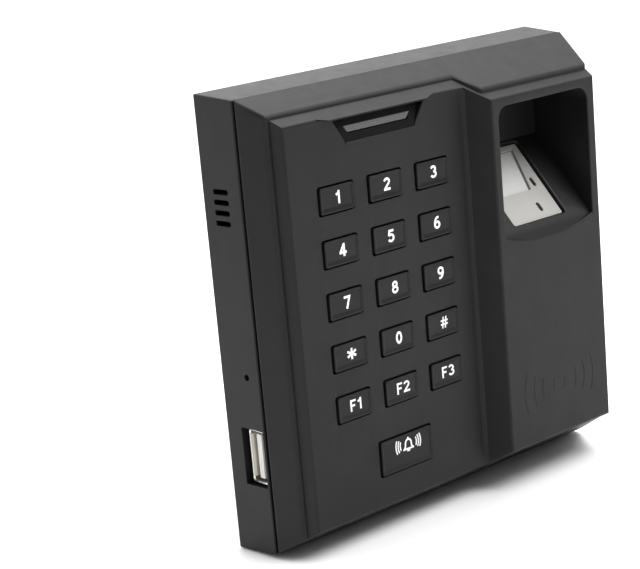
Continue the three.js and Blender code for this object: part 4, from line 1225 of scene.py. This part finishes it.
# The nodes that keep their CAD solids, by material.
FINISHES = [
    (BOARD, ("main_board", "keypad_board", "sensor_board")),
    (GLOSS_BLACK, ("processor_chip", "keypad_header", "keypad_socket", "battery_holder", "reset_switch",
                   "sensor_camera", "speaker")),
    (WHITE, ("reset_plunger", "wiring_header_1", "wiring_header_2")),
    (RUBBER, ("keypad_mat",)),
    (COPPER, ("rfid_coil",)),
    (GREEN_LED, ("status_led_green",)),
    (RED_LED, ("status_led_red",)),
    (BLUE, ("lock_relay",)),
    (NICKEL, ("clock_battery",)),
    (ZINC, [node for node in frame["nodes"] if "_screw_" in node]),
]


def other_pieces():
    """The steel of the wall plate, and materials on the CAD solids inside the casing."""
    for node in ("wall_bracket", "bracket_lock_screw"):
        refined(node, ZINC, "zinc_steel", 0.2, 3)
    for material, nodes in FINISHES:
        for node in nodes:
            mesh = frame["nodes"][node].data
            mesh.materials.clear()
            mesh.materials.append(material)


# ---- camera, lights and floor

CAMERA_AT = Vector((-301.84, -334.47, 114.83)) * MM
CAMERA_AZIMUTH = 39.81  # degrees from +Y towards +X
CAMERA_ELEVATION = 14.42  # degrees that it looks down
CAMERA_ROLL = -5.13
LENS_MM = 101.93
SENSOR_MM = 36
NEAR, FAR_OFF = 0.01, 20  # metres
FLOOR_REACH = 14000
FLOOR_GAP = 0.2
FLOOR_THICK = 2
ROOM_DIMMEST = 0.05  # strength of the room's light from the camera's side
# What each axis adds to it: the least and the most, between two values of the direction along that axis.
ROOM_LIGHT = {"Z": ((0, 0.5), (0.2, 0.9)), "Y": ((0, 2.1), (0, 0.8)), "X": ((0, 0.1), (-0.4, 0.8))}
# Softboxes aimed at the part, with places and sizes in metres and power in watts.
SOFTBOXES = {
    "overhead": {"at": (0.3, 0.05, 1.0), "side": 1.0, "power": 11},
    "side": {"at": (0.75, -0.65, 0.6), "side": 0.6, "power": 2.5},
    "front": {"at": (0.27, -0.62, 0.95), "side": 0.5, "power": 9},
}


def camera():
    data = bpy.data.cameras.new("camera")
    data.lens, data.sensor_width = LENS_MM, SENSOR_MM
    data.clip_start, data.clip_end = NEAR, FAR_OFF
    made = linked(data)
    turn = Matrix.Rotation(radians(-CAMERA_AZIMUTH), 4, "Z")
    tilt = Matrix.Rotation(radians(90 - CAMERA_ELEVATION), 4, "X")
    roll = Matrix.Rotation(radians(CAMERA_ROLL), 4, "Z")
    made.matrix_world = Matrix.Translation(CAMERA_AT) @ turn @ tilt @ roll
    bpy.context.scene.camera = made


def softbox(name, at, side, power):
    data = bpy.data.lights.new(name, "AREA")
    data.shape, data.size = "SQUARE", side
    data.energy = power
    made = linked(data)
    made.location = at
    made.rotation_euler = (-Vector(at)).to_track_quat("-Z", "Y").to_euler()


def floor():
    top = CAD_BOX[0].z / MM - FLOOR_GAP
    reach = (-FLOOR_REACH, FLOOR_REACH)
    sheet = slab(reach, reach, (top - FLOOR_THICK, top))
    material, nodes, shader = new_material("pale_floor")
    dust = noise(nodes, scale=6)
    pale = blend_colour(nodes, dust, (0.86, 0.86, 0.87), (0.88, 0.88, 0.89))
    connect(pale, shader.inputs["Base Color"])
    shader.inputs["Roughness"].default_value = 0.7
    sheet.name = "floor"
    sheet.data.transform(Matrix.Scale(MM, 4))
    sheet.data.materials.append(material)


def room():
    """Light from all round: bright overhead and behind the terminal, dim from the camera's side."""
    world = bpy.data.worlds.new("room")
    world.use_nodes = True
    nodes = world.node_tree.nodes
    place = nodes.new("ShaderNodeTexCoord")
    split = nodes.new("ShaderNodeSeparateXYZ")
    connect(place.outputs["Generated"], split.inputs["Vector"])
    total = None
    for axis, (strengths, between) in ROOM_LIGHT.items():
        add = node_of(nodes, "ShaderNodeMath", operation="ADD")
        connect(ramp(nodes, split.outputs[axis], *strengths, *between), add.inputs[0])
        if total is None:
            add.inputs[1].default_value = ROOM_DIMMEST
        else:
            connect(total, add.inputs[1])
        total = add.outputs["Value"]
    nodes["Background"].inputs["Color"].default_value = (1, 1, 1, 1)
    connect(total, nodes["Background"].inputs["Strength"])
    bpy.context.scene.world = world


def studio():
    bpy.context.scene.view_settings.view_transform = "Standard"
    room()
    for name, box in SOFTBOXES.items():
        softbox(name, **box)


camera()
front_casing()
rear_casing()
keypad()
status_light()
sensor_unit()
usb_socket()
other_pieces()
floor()
studio()
